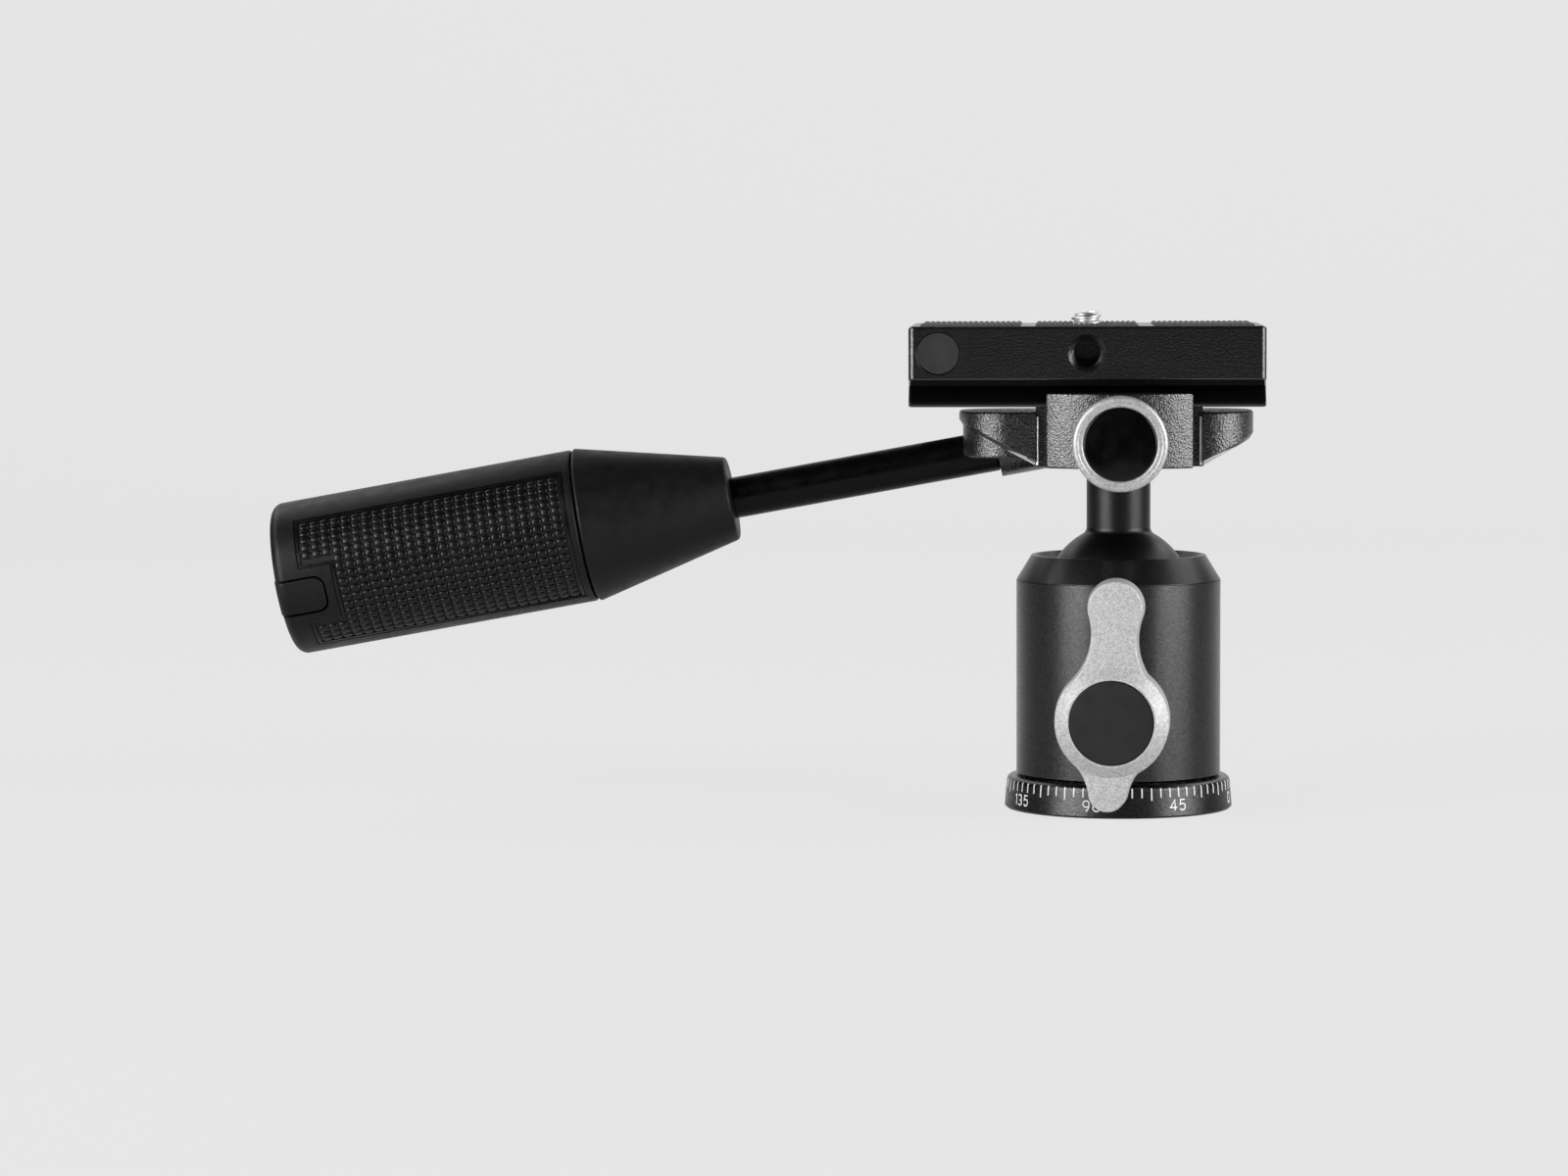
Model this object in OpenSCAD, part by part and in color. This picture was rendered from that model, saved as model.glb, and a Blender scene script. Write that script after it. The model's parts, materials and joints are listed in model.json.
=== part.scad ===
// Ball head with a lever-locked ball, a panning base, a screw clamp with its
// quick-release plate, and a screw-in pan handle. Millimetres, +Z up, origin in
// the middle of the base's underside, front of the head towards -Y, handle towards -X.

/* [Base] */
// Radius of the base disc at its foot
base_r = 23.2; // [22.5:0.1:26]
// Height of the base disc
base_h = 6.6; // [5.5:0.1:9]
// How much narrower the scale ring is at its top
base_taper = 0.4; // [0:0.1:1]
// Rounding of the scale ring's top edge
base_round = 1.2; // [0.4:0.1:1.6]
// Radius of the spindle that the head pans on
spindle_r = 9; // [8.2:0.1:9.6]
// Radius of the tripod thread
tripod_thread_r = 4.7625; // [3.1:0.0125:4.8]
// Depth of the tripod thread
tripod_thread_depth = 11; // [8:0.5:12]
// Wall of the steel bush round the tripod thread
insert_wall = 1.4; // [1:0.1:1.8]
// Thickness of the slip ring under the housing
thrust_washer_t = 0.5; // [0.3:0.1:1]

/* [Housing] */
// Radius of the housing
housing_r = 20.8; // [20.2:0.1:22]
// Turn of the housing and its lever to the left
lever_yaw = 3; // [-20:1:20]
// Thickness of the housing's floor on the spindle
flange_t = 5; // [4.6:0.1:6.5]
// Thickness of the snap ring
clip_t = 0.9; // [0.6:0.1:1.4]
// Thickness of the upper seat's ring round the ball
seat_wall = 1.4; // [1:0.1:1.8]
// Thickness of the collar's skirt round the upper seat
skirt_wall = 1.5; // [1:0.1:2]
// Height of the housing's top above the ball's centre
shoulder_rise = 3.7; // [3:0.1:4.2]
// Height of the bevelled collar
collar_h = 5.2; // [4.4:0.1:6]
// Radius of the collar's rim
collar_rim_r = 17.7; // [17.5:0.1:18.5]
// Width of the collar's flat rim
collar_rim_w = 0.7; // [0.4:0.1:0.9]
// Depth of the funnel round the ball
funnel_depth = 3.7; // [3:0.1:4]
// Length of the collar's skirt in the housing
skirt_len = 4.9; // [3:0.1:6]

/* [Ball] */
// Radius of the ball
ball_r = 15; // [14.5:0.1:15]
// Radius of the stem
stem_r = 6.5; // [5.5:0.1:7]
// Length of the stem above the ball's centre
stem_len = 27.4; // [26:0.1:32]
// Fillet between ball and stem
stem_fillet = 1.6; // [0.5:0.1:2.5]

/* [Ball lock] */
// Radius of the cam shaft's journals
journal_r = 4.5; // [4:0.1:4.8]
// Radius of the eccentric
cam_r = 4.2; // [3.9:0.1:4.4]
// Throw of the eccentric
cam_throw = 0.5; // [0.3:0.05:0.7]
// Thickness of the pressure cup under the ball
cup_t = 2.6; // [2:0.1:4]
// Height of the pressure cup
cup_h = 10.95; // [8:0.05:13]
// Radius of the lever's hub
hub_r = 11.35; // [10:0.05:12.5]
// Radius of the dark cap in the hub
lever_cap_r = 8.4; // [7.5:0.1:8.8]
// Half the width of the paddle's neck
neck_hw = 4.45; // [3.5:0.05:5.2]
// Distance of the paddle's neck from the hub's centre
neck_y = 17.1; // [16:0.1:19]
// Radius of the paddle's head
paddle_r = 5.4; // [4.8:0.1:6.4]
// Half the width of the short tab
tab_hw = 4; // [3:0.1:4.8]
// Distance of the short tab's round end from the hub's centre
tab_y = 13.9; // [13.2:0.1:15]
// Thickness of the lever's arms
arm_t = 7.3; // [5:0.1:9]
// Height of the hub's bevelled ring above the arms
hub_rise = 1.5; // [0.8:0.1:2.5]
// Lean of the lever to the right
lever_lean = 2.4; // [-10:0.2:10]

/* [Pan lock] */
// Radius of the pan lock screw
pan_screw_r = 1.9; // [1.4:0.1:2]
// Radius of the pan lock knob
pan_knob_r = 6.4; // [5.5:0.1:7]
// Length of the pan lock knob
pan_knob_len = 7.4; // [6:0.1:10]
// Radius of the pan lock knob's cap
pan_cap_r = 4.6; // [3.5:0.1:5]

/* [Clamp] */
// Half the width of the clamp's bed
block_hw = 16.8; // [16:0.1:18]
// Height of the clamp's bed above its underside
block_h = 12.1; // [11:0.1:14]
// Half the depth of the middle block
block_hd = 12; // [11:0.1:13]
// Half the width of the two jaws
jaw_hw = 14.7; // [13.5:0.1:15.5]
// Distance of the jaws' fronts from the middle
jaw_reach = 24.8; // [24.2:0.1:27]
// Radius of the jaws' curved fronts
jaw_curve_r = 27; // [25:0.5:40]
// Length of the wing on the handle's side
wing_len = 15.6; // [14:0.1:16.5]
// Half the depth of the wings
wing_hd = 14; // [13:0.1:15.5]
// Rounding of the wings' ends
wing_corner_r = 10.4; // [8:0.1:12]
// Step from the bed down to the wings
wing_step = 1.2; // [0.5:0.1:1.6]
// Slope of the wings' undersides
wing_slope = 28.2; // [20:0.2:32]
// Inset of the lug under the round wing
lug_inset = 0.8; // [0.4:0.1:1.6]
// Height of the lug's underside above the clamp's
lug_rise = 1.7; // [1:0.1:3]
// Radius of the clamp bolt
bolt_r = 2.5; // [2:0.1:3]
// Radius of the guide pins
pin_r = 1.5; // [1:0.1:2]
// Distance of the guide pins from the middle
pin_x = 9.5; // [8:0.1:10.5]

/* [Clamp knob] */
// Radius of the knob
knob_r = 9.45; // [8.4:0.05:10.5]
// Length of the knob
knob_len = 9; // [7:0.1:12]
// Radius of the dark cap in the knob
knob_cap_r = 7.25; // [6:0.05:7.8]
// Radius of the knob's screw
knob_screw_r = 3; // [2.5:0.1:3.2]
// Height of the knob's axis above the clamp's underside
knob_rise = 5.3; // [4.8:0.1:6]

/* [Plate] */
// Length of the plate
plate_len = 71.5; // [68:0.5:80]
// Place of the plate's middle along the bed
plate_x = -6.5; // [-8:0.1:-5]
// Half the width of the plate
plate_hw = 20; // [19:0.1:22]
// Half the width of the dovetail's foot
foot_hw = 19; // [18.6:0.1:19.4]
// Depth of the dovetail's undercut
undercut = 3.2; // [2.4:0.1:4]
// Height of the foot's upright edge
foot_edge = 1; // [0.6:0.1:1.4]
// Height of the groove above the dovetail
groove_h = 1.2; // [0.8:0.1:2]
// Height of the plate's upper body
plate_body_h = 10.8; // [9:0.1:13]
// Thickness of the rubber pads
pad_t = 0.9; // [0.6:0.1:1.5]
// Depth of the pads' pockets in the plate
pad_sink = 0.5; // [0.2:0.1:0.5]
// Gap between the rubber pads
pad_gap = 3.1; // [1.5:0.1:4]
// Length of the middle pad
pad_mid_len = 20.5; // [16:0.1:24]
// Margin of the pads from the plate's ends
pad_end = 2.3; // [1:0.1:4]
// Margin of the pads from the plate's sides
pad_side = 2; // [1:0.1:4]
// Radius of the camera thread
camera_thread_r = 3.175; // [2.9:0.025:3.2]
// Height of the camera screw above the pads
screw_proud = 2; // [1.5:0.1:3]
// Lift of the loose camera screw
screw_lift = 2.8; // [2:0.1:3.2]
// Depth of the accessory thread
accessory_depth = 8; // [6:0.1:9]
// Radius of the flush plug in the plate's side
plug_r = 4.15; // [3:0.05:4.6]
// Distance of the flush plug from the plate's end
plug_end = 6; // [5.5:0.1:9]
// Rounding of the plate's upright corners
plate_corner_r = 1.2; // [0.4:0.1:2]
// Radius of the stop screws' heads
stop_r = 2; // [1.5:0.1:2.2]

/* [Handle] */
// Drop of the handle below level
handle_drop = 10.3; // [5:0.1:14]
// Distance of the socket's face from the middle
socket_x = 24.6; // [23:0.1:26]
// Height of the socket's centre above the clamp's underside
socket_rise = 2.85; // [2.4:0.05:3.6]
// Radius of the rod
rod_r = 4.2; // [3.6:0.1:4.6]
// Radius of the rod's threaded end
stud_r = 3; // [2.4:0.1:3.2]
// Length of the rod's threaded end
stud_len = 11; // [8:0.5:12]
// Wall of the socket round the threaded end
socket_wall = 2.5; // [1.8:0.1:3]
// Length of bare rod
rod_bare = 55.1; // [45:0.1:80]
// Length of the cone
cone_len = 30.8; // [24:0.1:40]
// Radius of the cone's small end
cone_r = 8.6; // [7.5:0.1:9.5]
// Radius of the grip
grip_r = 15.7; // [14.5:0.1:17]
// Length of the grip
grip_len = 63.2; // [55:0.1:80]
// Rounding of the grip's end
grip_round = 2.2; // [1.2:0.1:4.5]
// Thickness of the grip's rubber
grip_wall = 2.4; // [1.8:0.1:3]
// Half the angle of the plain strip on top of the grip
strip_half = 40.5; // [30:0.5:60]
// Depth of the patterned panel
panel_depth = 0.35; // [0.2:0.05:0.6]
// Width of the storage plug and its tab
storage_w = 7; // [5:0.1:8]
// Length of the plug's tab
tab_len = 9.8; // [6:0.1:12]
// Rounding of the tab's inner corners
tab_round = 2; // [0.5:0.1:2.4]
// Length of the storage plug
storage_len = 38; // [30:0.5:42]

/* [Hidden] */
$fn = 96;

// Clearances: running fits, seats, loose gaps and the overlap that joins or cuts cleanly
run = 0.05;
seat = 0.02;
loose = 0.1;
clear = 0.3;
eps = 0.01;
over = 1;
edge = 0.4;

// Base and spindle
pan_gap = 0.2;
base_top_r = base_r - base_taper;
insert_r = tripod_thread_r + insert_wall;
insert_flange_w = 1;
insert_flange_r = insert_r + insert_flange_w;
insert_flange_t = 1.2;
washer_step = 1;
washer_margin = 2.4;
washer_in_r = spindle_r + washer_step;
washer_out_r = housing_r - washer_margin;
washer_seat_z = base_h - thrust_washer_t + pan_gap - run;
housing_z = base_h + pan_gap;
flange_top = housing_z + flange_t;
clip_gap = 0.15;
clip_bite = 0.8;
clip_proud = 1.4;
clip_open = 50;
clip_z = flange_top + clip_gap;
clip_groove_r = spindle_r - clip_bite;
clip_out_r = spindle_r + clip_proud;
spindle_tip = 0.9;
spindle_top = clip_z + clip_t + spindle_tip;
clip_room = 0.6;
clip_room_r = clip_out_r + clip_room;
spindle_room = 0.5;
clip_room_top = spindle_top + spindle_room;

// Cam shaft, cup and ball, one on the other
cross_clear = 0.2;
cross_r = max(cam_r + cam_throw, journal_r) + cross_clear;
cam_web = 1.05;
cam_z = clip_room_top + cam_web + cross_r;
cam_top = cam_z + cam_r + cam_throw;
cam_proud = 0.3;
cup_floor = cam_top - cam_proud;
cup_gap = 0.15;
cup_z = cam_top + cup_gap;
cup_run = 0.15;
cup_drain_r = 4;
ball_z = cup_z + cup_t + cup_run + ball_r;
cup_lip = 0.3;
cup_r = ball_r + cup_lip;
cup_bore_r = cup_r + loose;
cam_half = 8;
shaft_rear = 14;

// Housing top, collar and upper seat
housing_top = ball_z + shoulder_rise;
collar_top = housing_top + collar_h;
seat_rise = 0.6;
seat_h = 3.75;
seat_low = ball_z + seat_rise;
seat_top = seat_low + seat_h;
seat_r = ball_r + seat_wall;
seat_run = 0.1;
skirt_r = seat_r + loose + skirt_wall;
skirt_z = housing_top - skirt_len;
shoulder_step = 0.05;
shoulder_h = 0.2;
funnel_grip = 0.45;
funnel_r = ball_r - funnel_grip;
funnel_z = collar_top - funnel_depth;

// Lever, from its hub's back to its cap; its arms clear the base and the boss
bush_wall = 1.5;
bush_r = journal_r + run + bush_wall;
boss_wall = 2.1;
boss_r = bush_r + boss_wall;
boss_rise = 0.6;
boss_y = housing_r + boss_rise;
bush_margin = 0.2;
bush_in = cup_bore_r + bush_margin;
lever_washer_t = 0.7;
lever_washer_inset = 0.4;
hub_back = boss_y + lever_washer_t + loose;
lever_clear = 1;
arm_back = max(base_r, hub_back) + lever_clear;
arm_front = arm_back + arm_t;
hub_front = arm_front + hub_rise;
lever_cap_t = 1;
lever_cap_sink = 0.2;
lever_cap_back = hub_front - lever_cap_sink - lever_cap_t;
drive_step = 1;
drive_r = journal_r - drive_step;
lever_screw_r = 1.5;
lever_screw_head_r = 3;
lever_screw_head_t = 1.6;
lever_screw_len = 7;
lever_screw_gap = 0.6;
drive_end = lever_cap_back - lever_screw_head_t - lever_screw_gap;

// Pan lock, at the back of the housing's floor
pan_lock_z = housing_z + flange_t / 2;
shoe_len = 3;
shoe_y = spindle_r + loose;
pan_screw_y = shoe_y + shoe_len + run;
pan_knob_clear = 0.5;
pan_knob_y = max(base_r, housing_r) + pan_knob_clear;
pan_knob_end = pan_knob_y + pan_knob_len;
pan_cap_t = 0.8;
pan_cap_sink = 0.1;

// Clamp heights
clamp_z = ball_z + stem_len;
bed_z = clamp_z + block_h;
wing_top = bed_z - wing_step;
plate_z = bed_z + loose;
lip_clear = 1.4;
jaw_top = plate_z + foot_edge + undercut - lip_clear;
jaw_gap = 0.15;
jaw_center = jaw_curve_r - jaw_reach;
wing_lap = 0.5;
wing_root = block_hw - wing_lap;
lug_z = clamp_z + lug_rise;
spigot_step = 2;
spigot_r = stem_r - spigot_step;
spigot_h = 2.5;
bolt_web = 2.8;
bolt_seat = clamp_z + spigot_h + bolt_web;
bolt_flange = 2.1;
bolt_head_r = bolt_r + bolt_flange;
bolt_head_t = 3.4;
bolt_socket_floor = 1.2;
bolt_depth = 9;
knob_z = clamp_z + knob_rise;
knob_screw_web = 1.9;
screw_end = bolt_head_r + loose + knob_screw_web;
pin_in = 4.2;
pin_cover = 4.3;
pin_out = jaw_reach - pin_cover;

// Clamp knob, from its washer's seat
washer_sink = 0.6;
washer_seat_y = jaw_reach - washer_sink;
knob_washer_t = 0.8;
knob_washer_w = 3;
knob_washer_r = knob_screw_r + knob_washer_w;
knob_bore_gap = 0.2;
knob_y = washer_seat_y + run + knob_washer_t + run;
knob_end = knob_y + knob_len;
knob_cap_t = 1;
knob_cap_sink = 0.15;
knob_bevel = 0.7;

// Plate heights and its screws
plate_neck_hw = foot_hw - undercut;
slope_z = plate_z + foot_edge;
neck_z = slope_z + undercut;
body_z = neck_z + groove_h;
plate_top = body_z + plate_body_h;
pad_floor = plate_top - pad_sink;
pad_top = pad_floor + pad_t;
side_z = body_z + plate_body_h / 2;
pad_hw = plate_hw - pad_side;
pad_side_len = (plate_len - pad_mid_len) / 2 - pad_gap - pad_end;
thread_step = 0.8;
shank_r = camera_thread_r - thread_step;
screw_clip_t = 0.6;
screw_clip_w = 2.2;
screw_clip_r = shank_r + screw_clip_w;
screw_clip_open = 1.9;
screw_room_gap = 0.4;
screw_room_r = screw_clip_r + screw_room_gap;
screw_room_top = 0.2;
screw_room_z = pad_top - screw_lift - screw_clip_t - screw_room_top;
screw_head_w = 3.8;
screw_head_r = camera_thread_r + screw_head_w;
screw_head_t = 3;
screw_slot_hw = 0.9;
screw_slot_depth = 1.5;
head_room_gap = 0.5;
head_room_r = screw_head_r + head_room_gap;
screw_web = 4;
head_room_top = screw_room_z - screw_web;
screw_head_top = head_room_top - screw_lift - loose;
screw_tip = pad_top + screw_proud;
accessory_bevel = 0.6;
plug_x = plate_len / 2 - plug_end;
plug_depth = 3;
stop_proud = 0.35;
stop_step = 0.7;
stop_shank_r = stop_r - stop_step;
stop_len = 5;
stop_x = block_hw + stop_r + clear - plate_x;

// Handle stations along its axis, from the socket's face
socket_z = clamp_z + socket_rise;
socket_r = stud_r + socket_wall;
socket_floor = 4;
socket_len = stud_len + socket_floor;
channel_gap = 0.6;
channel_r = rod_r + channel_gap;
seam = rod_bare + cone_len;
seam_gap = 0.3;
grip_start = seam + seam_gap;
grip_end = seam + grip_len;
core_r = grip_r - grip_wall - run;
core_start = grip_start + clear;
end_wall = 5.5;
core_end = grip_end - end_wall;
cone_proud = 0.15;
cone_end_r = grip_r + cone_proud;
cone_wall = 2.2;
cone_bevel = 0.8;
nut_t = 5;
nut_r = 6.5;
nut_inset = 1;
nut_at = seam - nut_t - nut_inset;
nut_room = 6.5;
cone_room = nut_at - nut_room;
rod_grip = 18;
rod_end = core_start + rod_grip;
core_wall = 2;
core_floor = rod_end + core_wall;
panel_margin = 1.8;
panel_start = seam + panel_margin;
panel_tail = 5.3;
panel_end = grip_end - panel_tail;
storage_turn = -103;
storage_wall = 2;
storage_in = rod_r + storage_wall;
storage_cover = 0.6;
storage_fit = 0.2;
storage_corner_r = core_r - storage_cover;
storage_side = storage_w / 2 + storage_fit;
storage_out = sqrt(storage_corner_r * storage_corner_r - storage_side * storage_side) - storage_fit;
storage_proud = 0.2;
storage_end = grip_end + storage_proud;
tab_start = grip_end - tab_len;
tab_margin = 2.1;

// Frame of the housing's lever side: x right, y up, z out to the front
module at_front(z) {
    rotate([0, 0, -lever_yaw]) translate([0, 0, z]) rotate([90, 0, 0]) children();
}

// Frame of the housing's back: z out to the rear
module at_rear(z) {
    rotate([0, 0, -lever_yaw]) translate([0, 0, z]) rotate([-90, 0, 0]) children();
}

// Frame of the clamp's screw side: x right, y up, z out to the front
module at_knob() {
    translate([0, 0, knob_z]) rotate([90, 0, 0]) children();
}

// Frame of the handle: z outwards along the rod, x towards the top of the grip
module at_handle() {
    translate([-socket_x, 0, socket_z]) rotate([0, -90 - handle_drop, 0]) children();
}

module ring(r_in, r_out, h) {
    difference() {
        cylinder(r = r_out, h = h);
        translate([0, 0, -over]) cylinder(r = r_in, h = h + 2 * over);
    }
}

// Turned knob with bevelled ends, a bore and a shallow seat for its cap
module turned_knob(r, h, bevel, bore_r, cap_r, cap_depth) {
    rotate_extrude() polygon([
        [bore_r, 0], [r - bevel, 0], [r, bevel], [r, h - bevel], [r - bevel, h],
        [cap_r, h], [cap_r, h - cap_depth], [bore_r, h - cap_depth]
    ]);
}

// Dovetail foot in section, y across and z up, grown sideways by gap
module dovetail_room(gap) {
    rise = jaw_top + over - slope_z;
    half = [
        [foot_hw + gap, bed_z], [foot_hw + gap, slope_z], [foot_hw + gap - rise, jaw_top + over]
    ];
    rotate([90, 0, 90]) translate([0, 0, -block_hw - over]) linear_extrude(2 * block_hw + 2 * over)
        polygon(concat(half, [for (i = [2:-1:0]) [-half[i].x, half[i].y]]));
}

// Arcs that join a hub at the origin to an arm whose half width is w at height y
module arm_web(w, y) {
    f = (w * w + y * y - hub_r * hub_r) / (2 * (hub_r - w));
    difference() {
        polygon([[0, 0], [w + f, y], [-w - f, y]]);
        for (s = [-1, 1]) translate([s * (w + f), y]) circle(f);
    }
}

// Lever outline: hub, paddle whose head the same arcs run into, and short tab
module lever_outline() {
    f = (neck_hw * neck_hw + neck_y * neck_y - hub_r * hub_r) / (2 * (hub_r - neck_hw));
    head_dy = sqrt((f + paddle_r) * (f + paddle_r) - (neck_hw + f) * (neck_hw + f));
    circle(hub_r);
    arm_web(neck_hw, neck_y);
    difference() {
        polygon([
            [neck_hw + f, neck_y], [0, neck_y + head_dy], [-neck_hw - f, neck_y], [0, neck_y - over]
        ]);
        for (s = [-1, 1]) translate([s * (neck_hw + f), neck_y]) circle(f);
    }
    translate([0, neck_y + head_dy]) circle(paddle_r);
    rotate(180) arm_web(tab_hw, tab_y);
    translate([0, -tab_y]) circle(tab_hw);
}

module base_plate() {
    color("#2b2b2c") difference() {
        rotate_extrude() difference() {
            union() {
                polygon([
                    [0, 0], [base_r - edge, 0], [base_r, edge], [base_top_r, base_h - base_round],
                    [base_top_r - base_round, base_h], [0, base_h]
                ]);
                translate([base_top_r - base_round, base_h - base_round]) circle(base_round);
                square([spindle_r - edge, spindle_top]);
                square([spindle_r, spindle_top - edge]);
            }
            translate([clip_groove_r, clip_z - run]) square([over + spindle_r, clip_t + 2 * run]);
            translate([washer_in_r - clear, washer_seat_z])
                square([washer_out_r - washer_in_r + 2 * clear, base_h]);
        }
        translate([0, 0, -over]) cylinder(r = insert_r + seat, h = tripod_thread_depth + over);
        translate([0, 0, -over]) cylinder(r = insert_flange_r + seat, h = insert_flange_t + over);
    }
}

module thread_insert() {
    color("#9a9a98") difference() {
        union() {
            cylinder(r = insert_r, h = tripod_thread_depth);
            cylinder(r = insert_flange_r, h = insert_flange_t);
        }
        translate([0, 0, -over]) cylinder(r = tripod_thread_r, h = tripod_thread_depth + 2 * over);
    }
}

module thrust_washer() {
    color("#d8d4c8") translate([0, 0, washer_seat_z]) ring(washer_in_r, washer_out_r, thrust_washer_t);
}

module spindle_clip() {
    color("#8d8d8c") translate([0, 0, clip_z]) difference() {
        ring(clip_groove_r + run, clip_out_r, clip_t);
        translate([0, 0, -over]) linear_extrude(clip_t + 2 * over) polygon([
            [0, 0],
            2 * clip_out_r * [cos(clip_open / 2), sin(clip_open / 2)],
            2 * clip_out_r * [cos(clip_open / 2), -sin(clip_open / 2)]
        ]);
    }
}

module main_housing() {
    color("#3a3b3d") difference() {
        union() {
            rotate_extrude() polygon([
                [spindle_r + run, housing_z], [housing_r - edge, housing_z],
                [housing_r, housing_z + edge], [housing_r, housing_top],
                [skirt_r + loose, housing_top], [skirt_r + loose, skirt_z - loose],
                [cup_bore_r, skirt_z - loose], [cup_bore_r, cup_floor], [0, cup_floor],
                [0, clip_room_top], [clip_room_r, clip_room_top], [clip_room_r, flange_top],
                [spindle_r + run, flange_top]
            ]);
            at_front(cam_z) translate([0, 0, cup_bore_r + over]) cylinder(
                r = boss_r, h = boss_y - cup_bore_r - over
            );
        }
        at_front(cam_z) {
            translate([0, 0, -shaft_rear - clear])
                cylinder(r = journal_r + run, h = shaft_rear + clear + over);
            translate([0, 0, -cam_half - clear])
                cylinder(r = cross_r, h = cam_half + clear + bush_in);
            translate([0, 0, bush_in - eps]) cylinder(r = bush_r + seat, h = boss_y);
        }
        at_rear(pan_lock_z) translate([0, 0, spindle_r - over])
            cylinder(r = pan_screw_r + run, h = housing_r);
    }
}

module ball_collar() {
    color("#2a2a2b") rotate_extrude() polygon([
        [seat_r + loose, skirt_z], [skirt_r, skirt_z], [skirt_r, housing_top],
        [housing_r, housing_top], [housing_r - shoulder_step, housing_top + shoulder_h],
        [collar_rim_r, collar_top], [collar_rim_r - collar_rim_w, collar_top],
        [funnel_r, funnel_z], [funnel_r, seat_top + seat], [seat_r + loose, seat_top + seat]
    ]);
}

module upper_seat() {
    color("#dcdad2") rotate_extrude() difference() {
        translate([0, seat_low]) square([seat_r, seat_top - seat_low]);
        translate([0, ball_z]) circle(ball_r + seat_run);
    }
}

module shaft_bush() {
    color("#b08d4f") at_front(cam_z) translate([0, 0, bush_in])
        ring(journal_r + run, bush_r, boss_y - bush_in);
}

module pressure_cup() {
    color("#dcdad2") rotate_extrude() difference() {
        translate([cup_drain_r, cup_z]) square([cup_r - cup_drain_r, cup_h]);
        translate([0, ball_z]) circle(ball_r + cup_run);
    }
}

module lock_lever() {
    color("#b9bbbc") at_front(cam_z) rotate([0, 0, -lever_lean]) difference() {
        union() {
            translate([0, 0, arm_back]) linear_extrude(arm_t) lever_outline();
            rotate_extrude() polygon([
                [0, hub_back], [hub_r - edge, hub_back], [hub_r, hub_back + edge],
                [hub_r, arm_front], [lever_cap_r + edge, hub_front], [0, hub_front]
            ]);
        }
        translate([0, 0, lever_cap_back]) cylinder(r = lever_cap_r + loose, h = hub_rise + arm_t);
        translate([0, 0, hub_back - over]) cylinder(r = drive_r + seat, h = drive_end - hub_back + over);
        translate([0, 0, hub_back]) cylinder(r = lever_screw_head_r + loose, h = arm_t + hub_front);
    }
}

module lever_cap() {
    color("#1d1d1f") at_front(cam_z) translate([0, 0, lever_cap_back])
        cylinder(r = lever_cap_r, h = lever_cap_t);
}

module cam_shaft() {
    color("#8d8d8c") at_front(cam_z) difference() {
        union() {
            translate([0, 0, -shaft_rear]) cylinder(r = journal_r, h = shaft_rear - cam_half);
            translate([0, cam_throw, -cam_half]) cylinder(r = cam_r, h = 2 * cam_half);
            translate([0, 0, cam_half]) cylinder(r = journal_r, h = hub_back - seat - cam_half);
            translate([0, 0, cam_half]) cylinder(r = drive_r, h = drive_end - cam_half);
        }
        translate([0, 0, drive_end - lever_screw_len]) cylinder(r = lever_screw_r + seat, h = arm_t);
    }
}

module lever_screw() {
    color("#8d8d8c") at_front(cam_z) {
        translate([0, 0, drive_end - lever_screw_len + clear])
            cylinder(r = lever_screw_r, h = lever_screw_len);
        translate([0, 0, drive_end + seat]) cylinder(r = lever_screw_head_r, h = lever_screw_head_t);
    }
}

module lever_washer() {
    color("#d8d4c8") at_front(cam_z) translate([0, 0, boss_y + run])
        ring(journal_r + loose, boss_r - lever_washer_inset, lever_washer_t);
}

module pan_brake_shoe() {
    color("#b08d4f") at_rear(pan_lock_z) intersection() {
        translate([0, 0, shoe_y - over]) cylinder(r = pan_screw_r, h = shoe_len + over);
        rotate([90, 0, 0]) translate([0, 0, -spindle_r]) difference() {
            cylinder(r = 2 * spindle_r, h = 2 * spindle_r);
            translate([0, 0, -over]) cylinder(r = shoe_y, h = 2 * spindle_r + 2 * over);
        }
    }
}

module pan_lock_knob() {
    color("#b9bbbc") at_rear(pan_lock_z) translate([0, 0, pan_knob_y]) turned_knob(
        pan_knob_r, pan_knob_len, knob_bevel, pan_screw_r + seat, pan_cap_r + loose, pan_cap_t
    );
}

module pan_lock_cap() {
    color("#1d1d1f") at_rear(pan_lock_z) translate([0, 0, pan_knob_end - pan_cap_t + seat])
        cylinder(r = pan_cap_r, h = pan_cap_t - pan_cap_sink);
}

module pan_lock_screw() {
    color("#8d8d8c") at_rear(pan_lock_z) translate([0, 0, pan_screw_y])
        cylinder(r = pan_screw_r, h = pan_knob_end - pan_cap_t - pan_screw_y);
}

module ball_stem() {
    fillet_r = stem_r + stem_fillet;
    fillet_z = sqrt((ball_r + stem_fillet) * (ball_r + stem_fillet) - fillet_r * fillet_r);
    color("#1f1f20") translate([0, 0, ball_z]) difference() {
        rotate_extrude() {
            intersection() {
                circle(ball_r);
                translate([0, -ball_r]) square([ball_r, 2 * ball_r]);
            }
            difference() {
                polygon([[0, 0], [fillet_r, fillet_z], [0, fillet_z]]);
                translate([fillet_r, fillet_z]) circle(stem_fillet);
            }
            square([stem_r, stem_len - run]);
            square([spigot_r, stem_len + spigot_h]);
        }
        translate([0, 0, stem_len + spigot_h - bolt_depth - over])
            cylinder(r = bolt_r + seat, h = 2 * bolt_depth);
    }
}

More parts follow.
